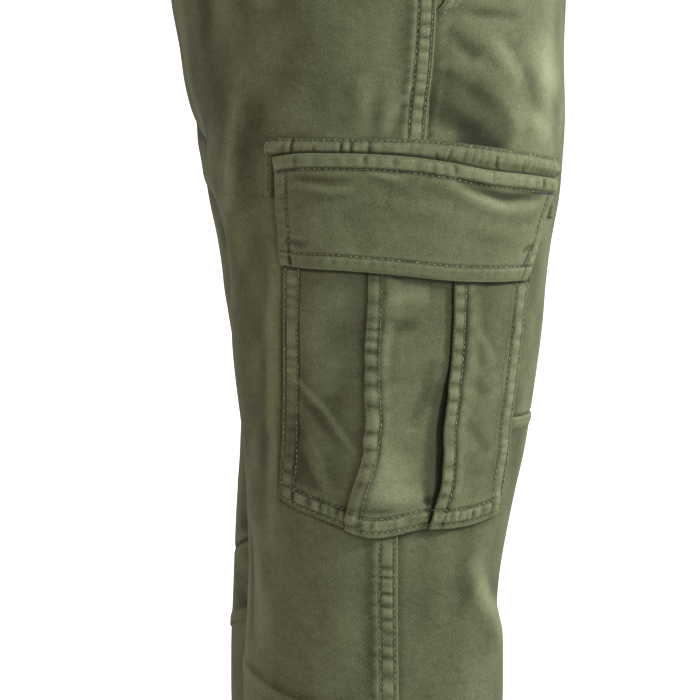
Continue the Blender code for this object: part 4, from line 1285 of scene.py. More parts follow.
# %% Fold one row of the bag
def pocket_path(side, level, share):
    """One row of the bag, along the cloth and folded at each pleat: (s, lift, u, relief, handled)."""
    back, first, second, front = (float(pocket_line(name, level)) for name in POCKET_ROWS[0]._fields[1:])
    wave = 0.0007 * cloth_noise(np.array([level, level]), np.array([0.1, 0.3]), 0.011, SEEDS[side] + 70)
    folds = (first + wave[0], second + wave[1])
    radius = (BAG_CLOTH + SEAM_GAP) / 2
    base = LAY + BAG_CLOTH / 2
    gapes = [float(smooth(PLEAT_STANDS, "share", name, share)) / 1000 for name in ("first", "second")]
    bend = np.linspace(-math.pi / 2, math.pi / 2, 6)
    starts, ends = (back, *folds), (*folds, front)
    s, lift, u, relief, rub_and_shade = [], [], [], [], []
    for field, (start, end, count) in enumerate(zip(starts, ends, FIELD_COLUMNS)):
        gape = gapes[field - 1] if field else 0.0
        across = field_columns(start + (radius if field else 0.0), end, count)
        fold = pocket_foot(across)
        head = cargo_line(POCKET_TOP, across)
        z = head + share * (fold - head)
        s.append(across)
        lift.append(base + field_lift(field, across, start, end, gape))
        u.append(across + 2 * PLEAT_UNDERLAY * field)
        relief.append(pocket_relief(side, field, z, across, back, front, folds))
        pale = np.zeros_like(across)
        if field:
            past = across - start
            crests = pleat_ladder(side, field, z, past)
            crests = crests * smoothstep((PLEAT_ROWS[field - 1] - past) / 0.002)
            pale = np.maximum(near_edge(past, 0.0013), PLEAT_PALE * crests)
        if field == 2:
            rub_and_shade.append(pale)
            break
        # Painted shade in the slit just before the next fold, after the pale rubbed crests.
        slit = SLIT_SHADE[field] + 0.5 * gapes[field] * (field == 1)
        rub_and_shade.append(pale - smoothstep((across - end + slit) / 0.0009))
        lifted = pocket_relief(side, field + 1, z[-1:], across[-1:] + radius, back, front, folds)[0]
        gape = gapes[field]
        turn = end + PLEAT_UNDERLAY
        ahead = end + PLEAT_UNDERLAY * np.array([0.3, 0.65])
        back_run = turn - PLEAT_UNDERLAY * np.array([0.25, 0.5, 0.75])
        rise = base + 2 * radius + gape * (turn - back_run) / PLEAT_UNDERLAY
        fold_middle = base + 3 * radius + gape
        # The layers under the fold get painted shade. Across the fold's bend it turns into a pale rubbed
        # edge.
        layers = [
            (ahead, np.full(2, base), 0.0, -1.0),
            (turn + radius * np.cos(bend), base + radius + radius * np.sin(bend), 0.0, -1.0),
            (back_run, rise, lifted * np.array([0.1, 0.4, 0.8]), -1.0),
            (end + radius - radius * np.cos(bend), fold_middle + radius * np.sin(bend), lifted, bend / 3),
        ]
        for run, height, carried, layer_rub_and_shade in layers:
            s.append(run)
            lift.append(height)
            relief.append(np.broadcast_to(carried, run.shape))
            rub_and_shade.append(np.broadcast_to(layer_rub_and_shade, run.shape))
        taken = 2 * PLEAT_UNDERLAY * field
        u += [ahead + taken, turn + taken + radius * (bend + math.pi / 2), 2 * turn - back_run + taken]
        u += [end + 2 * PLEAT_UNDERLAY * (field + 1) - radius * (math.pi / 2 - bend)]
    return [np.concatenate(column) for column in (s, lift, u, relief, rub_and_shade)]


print("points in a row, with both folds:", len(pocket_path("right", -0.40, 0.45)[0]))

# %% Make the pockets
# Broad patches of painted light and shade on the bag: s, z, half width and half height in mm, and tone.
POCKET_LIGHT_AND_SHADE = {
    "right": [
        (-70, -447, 16, 32, -0.15),
        (-4, -466, 17, 20, 0.27),
        (48, -372, 18, 32, -0.07),
        (-8, -352, 16, 8, 0.07),
    ],
    "left": [
        (-66, -440, 16, 30, -0.07),
        (0, -455, 18, 24, 0.10),
        (44, -380, 18, 30, -0.06),
    ],
}
pockets = {}
POCKET_SHARES = np.concatenate([np.linspace(0, 0.905, 92), np.linspace(0.905, 1, 17)[1:]])
for side in SIDES:
    rows = []
    for share in POCKET_SHARES:
        level = -POCKET_TOP + share * (POCKET_TOP + POCKET_ROWS[-1].z)
        rows.append(pocket_path(side, level, share))
    s, lift, u, relief, rub_and_shade = (np.array(column) for column in zip(*rows))
    head = cargo_line(POCKET_TOP, s)
    z = head + POCKET_SHARES[:, None] * (pocket_foot(s) - head)
    along = np.stack([np.gradient(s, axis=1), np.gradient(lift, axis=1)], -1)
    along /= np.linalg.norm(along, axis=-1, keepdims=True)
    point, out = skin(z, s, lift + relief)
    ahead, behind = skin(z, s + 0.001, 0.0)[0], skin(z, s - 0.001, 0.0)[0]
    tangent = (ahead - behind) / np.linalg.norm(ahead - behind, axis=-1, keepdims=True)
    normal = -tangent * along[..., 1:] + out * along[..., :1]
    point, normal = placed(side, point, normal)
    outer, inner = point + normal * BAG_CLOTH / 2, point - normal * BAG_CLOTH / 2
    # Painted shade on the bag just under the flap's foot.
    under_flap_shade = smoothstep((z - flap_foot(s) + 0.0028) / 0.0016)
    rub_and_shade = rub_and_shade * (1 - under_flap_shade) - under_flap_shade
    pockets[side] = cloth_sheet(
        f"cargo_pocket_{side}", outer, inner, z, u, relief, leg_twill, "laid", uppers(side),
        turn=-SIDES[side], rub_and_shade=rub_and_shade, painted_light_and_shade=painted_patches(POCKET_LIGHT_AND_SHADE[side], z, s),
    )

# %% [markdown]
# ## The flap
#
# It is two layers, sewn face to face and turned, so all its edges are soft and
# round. Its top is sewn to the leg, folded down and stitched again, which makes a
# padded roll. The pleats under it push its free edge out from the leg.

# %% Outline of the flap
FLAP_ENDS = table("down back front", [
    (0.00, -0.0965, 0.1020), (0.15, -0.0945, 0.1000), (0.31, -0.0935, 0.0955),
    (0.48, -0.0922, 0.0915), (0.68, -0.0898, 0.0880), (0.86, -0.0882, 0.0838),
    (1.00, -0.0862, 0.0790),
])
FLAP_TOP_ROW, FLAP_SIDE_ROW, FLAP_FOOT_ROW = 0.0098, 0.0082, 0.0094
FLAP_REST = LAY + BAG_CLOTH + SEAM_GAP + FACET_ROOM + FLAP_CLOTH / 2
FLAP_CREASES = {
    "right": [
        (3.2, -0.8, (-86, -277), (-66, -278), (-44, -277)),
        (2.6, 0.8, (-82, -281), (-62, -284), (-42, -283)),
        (1.6, 0.9, (-38, -275), (-24, -276.5), (-12, -279)),
        (4.5, -0.6, (-30, -280), (-16, -286), (0, -293)),
        (7.0, 1.2, (-20, -290), (-2, -294), (18, -298)),
        (4.0, -3.3, (18, -280), (40, -286), (60, -289), (86, -290)),
        (5.0, 1.8, (4, -276), (24, -287), (44, -295), (62, -299), (88, -296)),
        (9.0, -0.8, (10, -306), (40, -316), (68, -314)),
        (7.0, 0.8, (36, -304), (58, -312), (72, -308)),
        (8.0, -0.9, (-46, -294), (-38, -310), (-28, -324)),
        (9.0, 0.8, (-76, -296), (-66, -310), (-62, -324)),
        (2.4, -1.1, (68, -324), (76, -322), (84, -323)),
        (2.2, -0.9, (-84, -316), (-74, -318), (-66, -318)),
        (1.1, -0.6, (-82, -262), (-81, -271)),
        (1.4, -0.4, (-70, -262), (-70, -270)),
        (1.4, -0.5, (-49, -262), (-49, -270)),
        (1.0, -0.9, (-38, -262), (-38, -270)),
        (1.6, -0.5, (-20, -263), (-18, -271)),
        (1.3, -0.9, (16, -267), (20, -277)),
        (1.2, -0.8, (43, -272), (44, -281)),
        (1.2, -1.2, (86, -277), (85, -287)),
        (1.6, -1.2, (-80, -325), (-78, -334)),
    ],
    "left": [
        (3.0, -1.6, (-80, -277), (-50, -278), (-20, -277)),
        (3.4, 1.2, (-74, -283), (-48, -285), (-16, -283)),
        (4.0, -2.0, (10, -278), (34, -284), (62, -288)),
        (5.0, 1.4, (4, -284), (32, -293), (66, -297)),
        (9.0, -0.9, (-30, -296), (-20, -312), (-24, -326)),
        (1.2, -1.0, (-64, -262), (-64, -270)),
        (1.2, -0.9, (-28, -262), (-27, -271)),
        (1.2, -1.0, (30, -270), (31, -280)),
    ],
}


print("creases of the flap:", {side: len(rows) for side, rows in FLAP_CREASES.items()})


# %% Place, height and relief of the flap
def flap_end(name, down):
    return smooth(FLAP_ENDS[::-1], "down", name, down)


def flap_place(across, down):
    """(z, s) of a place on the flap, from its shares across and down."""
    back, front = (flap_end(name, down) for name in ("back", "front"))
    s = back + across * (front - back)
    top, foot = flap_top(s), flap_foot(s)
    return top + down * (foot - top), s


def flap_lift(across, down):
    plateau = smoothstep(np.minimum(across, 1 - across) / 0.16)
    wide = smoothstep(np.minimum(across, 1 - across) / 0.30)
    stand = FLAP_STAND * plateau * smoothstep(down / FLAP_RISE_SHARE)
    return FLAP_REST + stand + 0.0022 * wide * smoothstep((down - 0.55) / 0.45)


def flap_relief(side, across, down):
    z, s = flap_place(across, down)
    back, front = (flap_end(name, down) for name in ("back", "front"))
    from_top, from_foot = flap_top(s) - z, z - flap_foot(s)
    from_end = np.minimum(s - back, front - s)
    seed = SEEDS[side] + 120
    height = crease_height(FLAP_CREASES[side], z, s)
    height += 0.0007 * cloth_noise(z, 0.7 * s, 0.024, seed)
    height += 0.0011 * between(from_top, -0.001, FLAP_TOP_ROW + 0.0005, 0.0035)
    height += 0.0008 * puckers(s, 0.0105, seed + 1) * between(from_top, 0.001, FLAP_TOP_ROW, 0.002)
    height += 0.0005 * puckers(s, 0.0075, seed + 2) * between(from_foot, 0.001, FLAP_FOOT_ROW, 0.002)
    height += 0.0008 * puckers(z, 0.0080, seed + 3) * between(from_end, 0.001, FLAP_SIDE_ROW, 0.002)
    height += 0.0003 * between(from_foot, 0.001, FLAP_FOOT_ROW, 0.002)
    height += groove(from_top - FLAP_TOP_ROW, 0.0009, 0.0013) + groove(from_foot - FLAP_FOOT_ROW)
    height += groove(from_end - FLAP_SIDE_ROW) * smoothstep((from_top - FLAP_TOP_ROW) / 0.002)
    border = np.minimum(np.minimum(from_top, from_foot), from_end)
    return height * smoothstep(border / 0.003 + 0.3) - rim_drop(border, 0.0016, 0.0011), near_edge(border)


flap_middle = float(flap_lift(np.array(0.5), np.array(0.5)))
print("the flap's middle stands", round(flap_middle * 1000, 1), "mm off the leg")

# %% Make the flaps
# Broad patches of painted light and shade on the flap.
FLAP_LIGHT_AND_SHADE = [(44, -306, 24, 15, 0.09), (-58, -300, 20, 20, 0.03)]
DEEP, WIDE = 71, 190  # mm, for the shares below
NEAR_TOP = np.array([0, 0.3, 0.8, 1.5, 2.5, 4, 5.5, 7, 8.2, 9.0, 9.5, 10.0, 10.6, 11.5]) / DEEP
NEAR_FOOT = 1 - np.array([10.6, 9.9, 9.4, 8.9, 8.2, 7.2, 6.2, 5.2, 4.2, 3.2, 2.2, 1.4, 0.7, 0.3, 0]) / DEEP
flap_down = np.concatenate([NEAR_TOP, np.linspace(12.7 / DEEP, 59.2 / DEEP, 36), NEAR_FOOT])
NEAR_END = np.array([0, 0.5, 1.2, 2.2, 3.3, 4.5, 5.7, 6.9, 7.8, 8.6, 9.6, 10.8]) / WIDE
flap_across = np.concatenate([NEAR_END, np.linspace(12 / WIDE, 178 / WIDE, 134), 1 - NEAR_END[::-1]])
flaps = {}
for side in SIDES:
    across, down = np.meshgrid(flap_across, flap_down)
    z, s = flap_place(across, down)
    lift = flap_lift(across, down)
    relief, border_rim = flap_relief(side, across, down)
    outer = leg_face(side, z, s, lift + FLAP_CLOTH / 2 + relief)
    inner = leg_face(side, z, s, lift - FLAP_CLOTH / 2 + 0.3 * np.minimum(relief, 0))
    flaps[side] = cloth_sheet(
        f"cargo_flap_{side}", outer, inner, z, s, relief, leg_twill, "hung", [strips[side], pockets[side]],
        turn=-SIDES[side], rub_and_shade=border_rim, painted_light_and_shade=painted_patches(FLAP_LIGHT_AND_SHADE, z, s),
    )

# %% [markdown]
# ## Behind the slant pockets
#
# The slant is cut away from the front, and a facing of the same cloth shows in
# it. It lies under the front, so it is drawn just inside the leg's skin, and its
# top is caught behind the waistband.

# %% Make the facings
FACING_RISE = 0.004  # behind the waistband
for side in SIDES:
    foot = -MOUTH_DEPTH - MOUTH_FOOT - MOUTH_LAP
    levels = np.linspace(PANEL_TOP + FACING_RISE, foot, 48)
    share = np.linspace(0, 1, 22)
    z = np.repeat(levels[:, None], len(share), axis=1)
    s = -MOUTH_LAP + share * (mouth_edge(z) + 0.020 + MOUTH_LAP)
    relief = 0.0005 * cloth_noise(z, s, 0.030, SEEDS[side] + 150)
    middle = -CLOTH - SEAM_GAP - FACING_ROOM + relief
    outer, inner = (leg_face(side, z, s, middle + half) for half in (CLOTH / 2, -CLOTH / 2))
    node = f"hip_facing_{side}"
    cloth_sheet(node, outer, inner, z, s, relief, leg_twill, "hung", ["waistband"], turn=-SIDES[side])

# %% [markdown]
# ## The waist
#
# The waistband is one long folded strip, stitched along both edges. Its left end
# laps over its right end and is buttoned there. Under it the left front folds over
# the right one as a fly, which ends in a curve. The band follows the leg's own
# skin at the waist, round one side, the back and the other side.

# %% Make the waistband
WAISTBAND_UNDERLAP, WAISTBAND_OVERLAP, LAP_RAMP = 0.034, 0.006, 0.022
BAND_ROWS = (0.0024, WAISTBAND_HEIGHT - 0.0030)


def band_place(z, along):
    """Sides and distances of places on the band: along runs from the centre front round the right side."""
    front, back = edge_at(z, True), edge_at(z, False)
    half = front - back
    run = along * 2 * half
    s = np.where(run < 0, front + run, front - run)
    s = np.where((run >= half) & (run < 2 * half), back + run - half, s)
    s = np.where(run >= 2 * half, front - (run - 2 * half), s)
    right = ((run >= 0) & (run < half)) | (run >= 2 * half)
    return np.where(right, -1.0, 1.0), s


def band_skin(z, along, lift):
    turn, s = band_place(z, along)
    point, normal = skin(z, s, lift)
    point[..., 0] *= turn
    return point


girth = 2 * float(edge_at(0.0, True) - edge_at(0.0, False))
apart = (WAISTBAND_CLOTH + SEAM_GAP) / 2
along = np.linspace(-WAISTBAND_UNDERLAP / girth, 1 + WAISTBAND_OVERLAP / girth, 340)
near_top, near_foot = [0, 0.5, 1.2, 2.0, 2.7, 3.6, 5], [34.6, 36, 36.9, 37.8, 38.9, 39.5, 39.85]
down = levels_near(near_top, [*range(8, 33, 4), *near_foot])
along, down = np.meshgrid(along, down)
under = smoothstep(1 - (along - WAISTBAND_OVERLAP / girth) * girth / LAP_RAMP)
over = smoothstep(1 - (1 - WAISTBAND_UNDERLAP / girth - along) * girth / LAP_RAMP)
lift = apart * (over - under)
to_edge = np.minimum(down, WAISTBAND_HEIGHT - down)
to_end = np.minimum(along - along.min(), along.max() - along) * girth
relief = 0.0005 * cloth_noise(down, along * girth, 0.020, 201)
relief -= rim_drop(np.minimum(to_edge, to_end), 0.0018, 0.0009)
relief += 0.0005 * puckers(along * girth + 0.2 * down, 0.0062, 203) * between(to_edge, 0.001, 0.009, 0.003)
for row in BAND_ROWS:
    relief += groove(down - row)
outer = band_skin(-down, along, lift + WAISTBAND_CLOTH / 2 + relief)
inner = band_skin(-down, along, lift - WAISTBAND_CLOTH / 2)
fronts = [panels["front_upper", side] for side in SIDES]
band = cloth_sheet("waistband", outer, inner, -down, along * girth, relief, trim_twill, "stretched", fronts)

# %% Make the fly
FLY_WIDTH, FLY_LENGTH, FLY_EDGE, FLY_STRAIGHT, FLY_TIP = 0.034, 0.150, 0.006, 0.72, 0.004
FLY_TOP = -WAISTBAND_HEIGHT - 3 * SEAM_GAP
FLY_ROWS = (0.0022, 0.0082)  # from its curved edge


def across_front(z, x, lift):
    """Points of the fronts' skin at chosen places across."""
    s = np.linspace(0.45, 1.0, 160) * float(edge_at(z, True))
    point, normal = skin(np.full_like(s, z), s, 0.0)
    out = point[::-1, 0]
    there = np.stack([np.interp(np.abs(x), out, point[::-1, k]) for k in range(3)], -1)
    facing = np.stack([np.interp(np.abs(x), out, normal[::-1, k]) for k in range(3)], -1)
    facing[:, 0] *= np.clip(np.abs(x) / 0.01, 0, 1)
    facing /= np.linalg.norm(facing, axis=1, keepdims=True)
    turn = np.stack([np.where(x < 0, -1.0, 1.0), np.ones_like(x), np.ones_like(x)], -1)
    there[:, 0] = np.abs(x)
    return there * turn + facing * turn * lift[:, None]


rows = []
for share in np.linspace(0, 1, 76):
    z = FLY_TOP - share * FLY_LENGTH
    bend = max(share - FLY_STRAIGHT, 0) / (1 - FLY_STRAIGHT)
    width = max(FLY_WIDTH * math.sqrt(1 - bend**2), FLY_TIP)
    x = -FLY_EDGE + (width + FLY_EDGE) * np.linspace(0, 1, 26)
    border = np.minimum(np.minimum(x + FLY_EDGE, width - x), 0.9 * (1 - share) * FLY_LENGTH)
    level = np.full_like(x, z)
    relief = 0.0005 * puckers(level, 0.0075, 211) * between(width - x, 0.001, 0.008, 0.003)
    relief += groove(width - x - FLY_ROWS[0]) + groove(width - x - FLY_ROWS[1])
    relief += 0.0004 * cloth_noise(x, level, 0.018, 213) - rim_drop(border, 0.0014, 0.0006)
    outer = across_front(z, x, LAY + FACET_ROOM + BAG_CLOTH + relief)
    inner = across_front(z, x, np.full_like(x, LAY + FACET_ROOM))
    rows.append((outer, inner, level, x, relief))
fly = cloth_sheet("fly", *(np.array(column) for column in zip(*rows)), trim_twill, "hung", [band])

# %% [markdown]
# ## Belt loops
#
# A belt loop is a narrow strip, folded so that its raw edges meet behind, and
# stitched along both sides. It is tacked down above and below the band, and
# between the tacks it stands off, with room for a belt. One loop's course is
# modelled as a line of heights, and every loop follows it.

# %% Make the belt loops
LOOP_WIDTH, LOOP_CLOTH, LOOP_RISE = 0.010, 0.0014, 0.0028
ON_BAND = WAISTBAND_CLOTH / 2 + SEAM_GAP + LOOP_CLOTH / 2
ON_PANEL = LAY + FACET_ROOM + LOOP_CLOTH / 2
LOOP_COURSE = table("z lift", [
    (-0.0010, ON_BAND),
    (-0.0070, ON_BAND + 0.10 * LOOP_RISE),
    (-0.0140, ON_BAND + 0.70 * LOOP_RISE),
    (-0.0210, ON_BAND + 1.00 * LOOP_RISE),
    (-0.0290, ON_BAND + 0.80 * LOOP_RISE),
    (-0.0370, ON_BAND + 0.25 * LOOP_RISE),
    (-0.0425, ON_BAND + 0.05 * LOOP_RISE),
    (-0.0470, ON_PANEL),
    (-0.0530, ON_PANEL),
])
LOOP_PLACES = [("right", 0.098), ("left", 0.098), ("right", -0.105), ("left", -0.105), ("centre back", 0.0)]
LOOP_TACKS, LOOP_ROW = (-0.0030, -0.0500), 0.0020
LOOP_TOP, LOOP_FOOT = -0.001, -0.053
loops = []
for number, (place, middle) in enumerate(LOOP_PLACES, start=1):
    columns = np.linspace(-0.5, 0.5, 15) * LOOP_WIDTH
    z, apart = np.meshgrid(np.linspace(LOOP_TOP, LOOP_FOOT, 54), columns, indexing="ij")
    if place == "centre back":
        s = edge_at(z, False) + np.abs(apart)
        turn = np.where(apart < 0, -1.0, 1.0)
    else:
        s = middle + apart
        turn = np.full_like(s, SIDES[place])
    border = np.minimum(LOOP_WIDTH / 2 - np.abs(apart), np.minimum(LOOP_TOP - z, z - LOOP_FOOT))
    relief = 0.0003 * cloth_noise(z, s, 0.006, 220 + number) - rim_drop(border, 0.0010, 0.0005)
    relief += groove(LOOP_WIDTH / 2 - np.abs(apart) - LOOP_ROW, 0.0004, 0.0007)
    for tack in LOOP_TACKS:
        relief += groove(z - tack, 0.0004, 0.0014)
    lift = smooth(LOOP_COURSE, "z", "lift", z)
    faces = []
    for height in (lift + LOOP_CLOTH / 2 + relief, lift - LOOP_CLOTH / 2):
        point, normal = skin(z, s, height)
        if place == "centre back":
            # Across the seam the two sides' skins lean apart, so both are turned to face straight back.
            share = np.clip(1 - np.abs(apart) / 0.004, 0, 1)
            point[..., 0] -= share * normal[..., 0] * height
            point[..., 0] = np.maximum(point[..., 0], 0) * (np.abs(apart) > 1e-6)
        point[..., 0] *= turn
        faces.append(point)
    node = f"belt_loop_{number}"
    loops.append(cloth_sheet(node, *faces, z, apart, relief, trim_twill, "stretched", [band]))

# %% [markdown]
# ## The button
#
# It is turned from horn-brown resin: a disc with a raised rim, a shallow dish and
# four holes for the thread. A disc, one inset face and a Boolean with four
# pegs make it just as a lathe and a drill would. Its polish is uneven, and a fine
# cloud in its colour keeps it from looking like plain plastic.

# %% Turn the button
BUTTON_RADIUS, BUTTON_THICKNESS, BUTTON_X = 0.0085, 0.0026, 0.012
CORNERS = [(1, 1), (1, -1), (-1, -1), (-1, 1)]
BUTTON_RIM, BUTTON_DISH = 0.0018, 0.0007
BUTTON_LIFT = WAISTBAND_CLOTH + 1.5 * SEAM_GAP + BUTTON_THICKNESS / 2
HOLE_RADIUS, HOLE_APART = 0.00085, 0.0017
CLOUDS_PER_METRE = 260.0  # each is about 4 mm
ARCH = HOLE_APART / 1.4  # from the button's middle to a hole, each way

bpy.ops.mesh.primitive_cylinder_add(vertices=64, radius=BUTTON_RADIUS, depth=BUTTON_THICKNESS)
button = bpy.context.object
button.name = "horn_button"
bpy.ops.object.mode_set(mode="EDIT")
bpy.ops.mesh.select_all(action="DESELECT")
bpy.ops.mesh.select_mode(type="FACE")
bpy.ops.object.mode_set(mode="OBJECT")
for polygon in button.data.polygons:
    polygon.select = polygon.normal.z > 0.9
bpy.ops.object.mode_set(mode="EDIT")
bpy.ops.mesh.inset(thickness=BUTTON_RIM, depth=-BUTTON_DISH)
bpy.ops.mesh.inset(thickness=0.0008, depth=-0.0002)
bpy.ops.object.mode_set(mode="OBJECT")
rounding = button.modifiers.new("rounding", "BEVEL")
rounding.width, rounding.segments, rounding.angle_limit = 0.0004, 3, math.radians(30)
bpy.ops.object.modifier_apply(modifier=rounding.name)
pegs = []
for across, up in CORNERS:
    place = (across * ARCH, up * ARCH, 0)
    bpy.ops.mesh.primitive_cylinder_add(vertices=20, radius=HOLE_RADIUS, depth=0.01, location=place)
    pegs.append(bpy.context.object)
for peg in pegs:
    drill = button.modifiers.new("drill", "BOOLEAN")
    drill.object, drill.operation, drill.solver = peg, "DIFFERENCE", "EXACT"
    bpy.context.view_layer.objects.active = button
    bpy.ops.object.modifier_apply(modifier=drill.name)
    bpy.data.objects.remove(peg, do_unlink=True)
bpy.ops.object.select_all(action="DESELECT")
button.select_set(True)
bpy.ops.object.shade_smooth_by_angle(angle=math.radians(30))


print("button:", len(button.data.polygons), "faces")


# %% Seat and polish the button
def seat_on_band(made):
    """Sets what was made flat round the origin on the waistband, facing out."""
    heights = BUTTON_LIFT, BUTTON_LIFT + 0.01
    level, x = -WAISTBAND_HEIGHT / 2, np.array([BUTTON_X])
    seat, ahead = (across_front(level, x, np.array([height]))[0] for height in heights)
    made.rotation_mode = "QUATERNION"
    made.rotation_quaternion = Vector(ahead - seat).to_track_quat("Z", "Y")
    made.location = seat
    bpy.ops.object.transform_apply(location=True, rotation=True, scale=True)


seat_on_band(button)

horn, tree, shader = new_material("turned horn-brown resin")
place = add_node(tree, "TexCoord").outputs["Object"]
grain = {"Scale": CLOUDS_PER_METRE, "Detail": 3.0, "Distortion": 1.2}
cloud = add_node(tree, "TexNoise", {"Vector": place, **grain}).outputs["Fac"]
gloss = add_node(tree, "MapRange", {"Value": cloud, "To Min": 0.28, "To Max": 0.42}).outputs["Result"]
brown = add_node(tree, "ValToRGB", {"Fac": cloud})
set_tones(brown, [(0.38, "#33291B"), (0.66, "#5E4F37")])
tree.links.new(brown.outputs["Color"], shader.inputs["Base Color"])
tree.links.new(gloss, shader.inputs["Roughness"])
button.data.materials.append(horn)
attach(button, "root")
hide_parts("button")
print("button seated at", [round(c, 3) for c in np.mean(button.bound_box, axis=0)])

# %% [markdown]
# ## Sewing
#
# Topstitching is a row of separate stitches. On the face of the cloth each is a
# short bridge of thread: it comes up through one hole, lies on the surface and
# dives into the next, and the pull of the thread sinks it into a shallow groove.
# A dashed line in a texture would be flat, so each stitch is a bent rod. Where it
# lies is found by looking straight down at the cloth: a ray meets the sheet and
# gives its height and its slope, puckers and all.
#
# A bartack is a dense bar of stitches side by side, sewn where a seam takes
# strain: at pocket corners and at both ends of a belt loop.

# %% Thread
THREAD_RADIUS = 0.00031
STITCH_PITCH = 0.0036
STITCH_SHARE = 0.76  # of the pitch; the rest is the gap between two holes
STITCH_DIP, STITCH_RISE = 0.00040, 0.00022  # of its ends and its middle
TACK_PITCH = 0.00052
FUZZ_PER_METRE = 700.0  # a tuft of 1.4 mm
EYE_HEIGHT, EYE_REACH = 0.016, 0.04


def spun_thread(name, dark, light):
    made, tree, shader = new_material(name)
    place = add_node(tree, "TexCoord").outputs["Object"]
    fuzz = add_node(tree, "TexNoise", {"Vector": place, "Scale": FUZZ_PER_METRE, "Detail": 2.0})
    ramp = add_node(tree, "ValToRGB", {"Fac": fuzz.outputs["Fac"]})
    set_tones(ramp, [(0.36, dark), (0.66, light)])
    tree.links.new(ramp.outputs["Color"], shader.inputs["Base Color"])
    set_inputs(shader, {"Roughness": 0.6, "Sheen Weight": 0.1})
    return made


thread = spun_thread("core-spun polyester thread, dyed to match", "#3A3C28", "#83866A")
tack_thread = spun_thread("textured polyester thread, dyed dark olive", "#20211A", "#3B3C33")
print("threads:", thread.name, "and", tack_thread.name)


# %% Lay out rows of stitches and bartacks
def look_down(sheets):
    depsgraph = bpy.context.evaluated_depsgraph_get()
    return [BVHTree.FromObject(sheet, depsgraph) for sheet in sheets]


def nearest_hit(trees, origin, direction):
    best = None
    for tree in trees:
        point, normal, _, distance = tree.ray_cast(origin, direction, EYE_REACH)
        if point is not None and (best is None or distance < best[2]):
            best = (point, normal, distance)
    return best


def stitches(path, seed):
    """Cuts a line of (z, s) places into stitches, each a start, a middle and an end."""
    path = np.asarray(path, float)
    lengths = np.concatenate([[0.0], np.cumsum(np.linalg.norm(np.diff(path, axis=0), axis=1))])
    count = max(int(lengths[-1] / STITCH_PITCH), 1)
    starts = np.arange(count) * lengths[-1] / count
    loose, uneven = np.random.default_rng(seed).uniform(-0.05, 0.05, (2, count, 1))
    halves = np.array([0.0, 0.5, 1.0])
    where = starts[:, None] + loose * STITCH_PITCH + halves * (STITCH_SHARE + 2 * uneven) * STITCH_PITCH
    return np.stack([np.interp(where, lengths, path[:, k]) for k in (0, 1)], -1)


def stitch_row(z, s, seed):
    """Stitches along a line of heights and distances."""
    return stitches(np.stack(np.broadcast_arrays(z, s), -1), seed)


def bartack(start, end, width=0.0020):
    """Close threads across a short bar from start to end, both (z, s)."""
    start, end = np.array(start), np.array(end)
    run = end - start
    square = np.array([-run[1], run[0]]) / np.linalg.norm(run) * width / 2
    middle = start + np.linspace(0, 1, int(np.linalg.norm(run) / TACK_PITCH))[:, None] * run
    tilt = 0.12 * run / np.linalg.norm(run) * width
    return np.stack([middle - square - tilt, middle, middle + square + tilt], 1)


print("a bartack 10 mm long has", len(bartack((0, 0), (0.010, 0))), "threads")


# %% Sew them
def sew(name, side, lines, sheets, made_of=None):
    """Lays stitches on sheets. lines are arrays of (start, middle, end) places on the leg."""
    places = np.concatenate(lines)
    eye, facing = placed(side, *skin(places[..., 0], places[..., 1], EYE_HEIGHT))
    trees = look_down(sheets)
    laid, normals = [], []
    for eyes, facings in zip(eye, facing):
        hits = [nearest_hit(trees, Vector(e), -Vector(f)) for e, f in zip(eyes, facings)]
        if all(hits):
            laid.append([hit[0] for hit in hits])
            normals.append(sum((hit[1] for hit in hits), Vector()).normalized())
    laid, normals = np.array(laid), np.array(normals)[:, None, :]
    share = np.array([0.0, 0.22, 0.78, 1.0])[None, :, None]
    start, middle, end = (laid[:, None, k] for k in range(3))
    line = start * (1 - share) * (1 - 2 * share) + middle * 4 * share * (1 - share)
    line = line + end * share * (2 * share - 1)
    line += normals * np.array([-STITCH_DIP, STITCH_RISE, STITCH_RISE, -STITCH_DIP])[None, :, None]
    tangent = np.gradient(line, axis=1)
    across = np.cross(tangent, normals)
    across /= np.linalg.norm(across, axis=-1, keepdims=True)
    up = np.cross(across, tangent)
    up /= np.linalg.norm(up, axis=-1, keepdims=True)
    ring = np.stack([line + THREAD_RADIUS * (a * across + b * up) / 1.3 for b, a in CORNERS], axis=2)
    count = len(ring)
    sides = [(k, (k + 1) % 4, (k + 1) % 4 + 4, k + 4) for k in range(4)]
    walls = [[low + corner for corner in wall] for low in (0, 4, 8) for wall in sides]
    body = np.array([*walls, (0, 3, 2, 1), (12, 13, 14, 15)])
    if np.linalg.det(np.stack([tangent[0, 1], across[0, 1], up[0, 1]])) < 0:
        body = body[:, ::-1]
    faces = (np.arange(count)[:, None, None] * 16 + body[None]).reshape(-1, 4)
    made = make_mesh(name, ring.reshape(-1, 3), faces, made_of or thread, sharp=80.0)
    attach(made, "root")
    print(f"{name}: {count} stitches")
    return made


print("a thread is", THREAD_RADIUS * 2000, "mm thick")

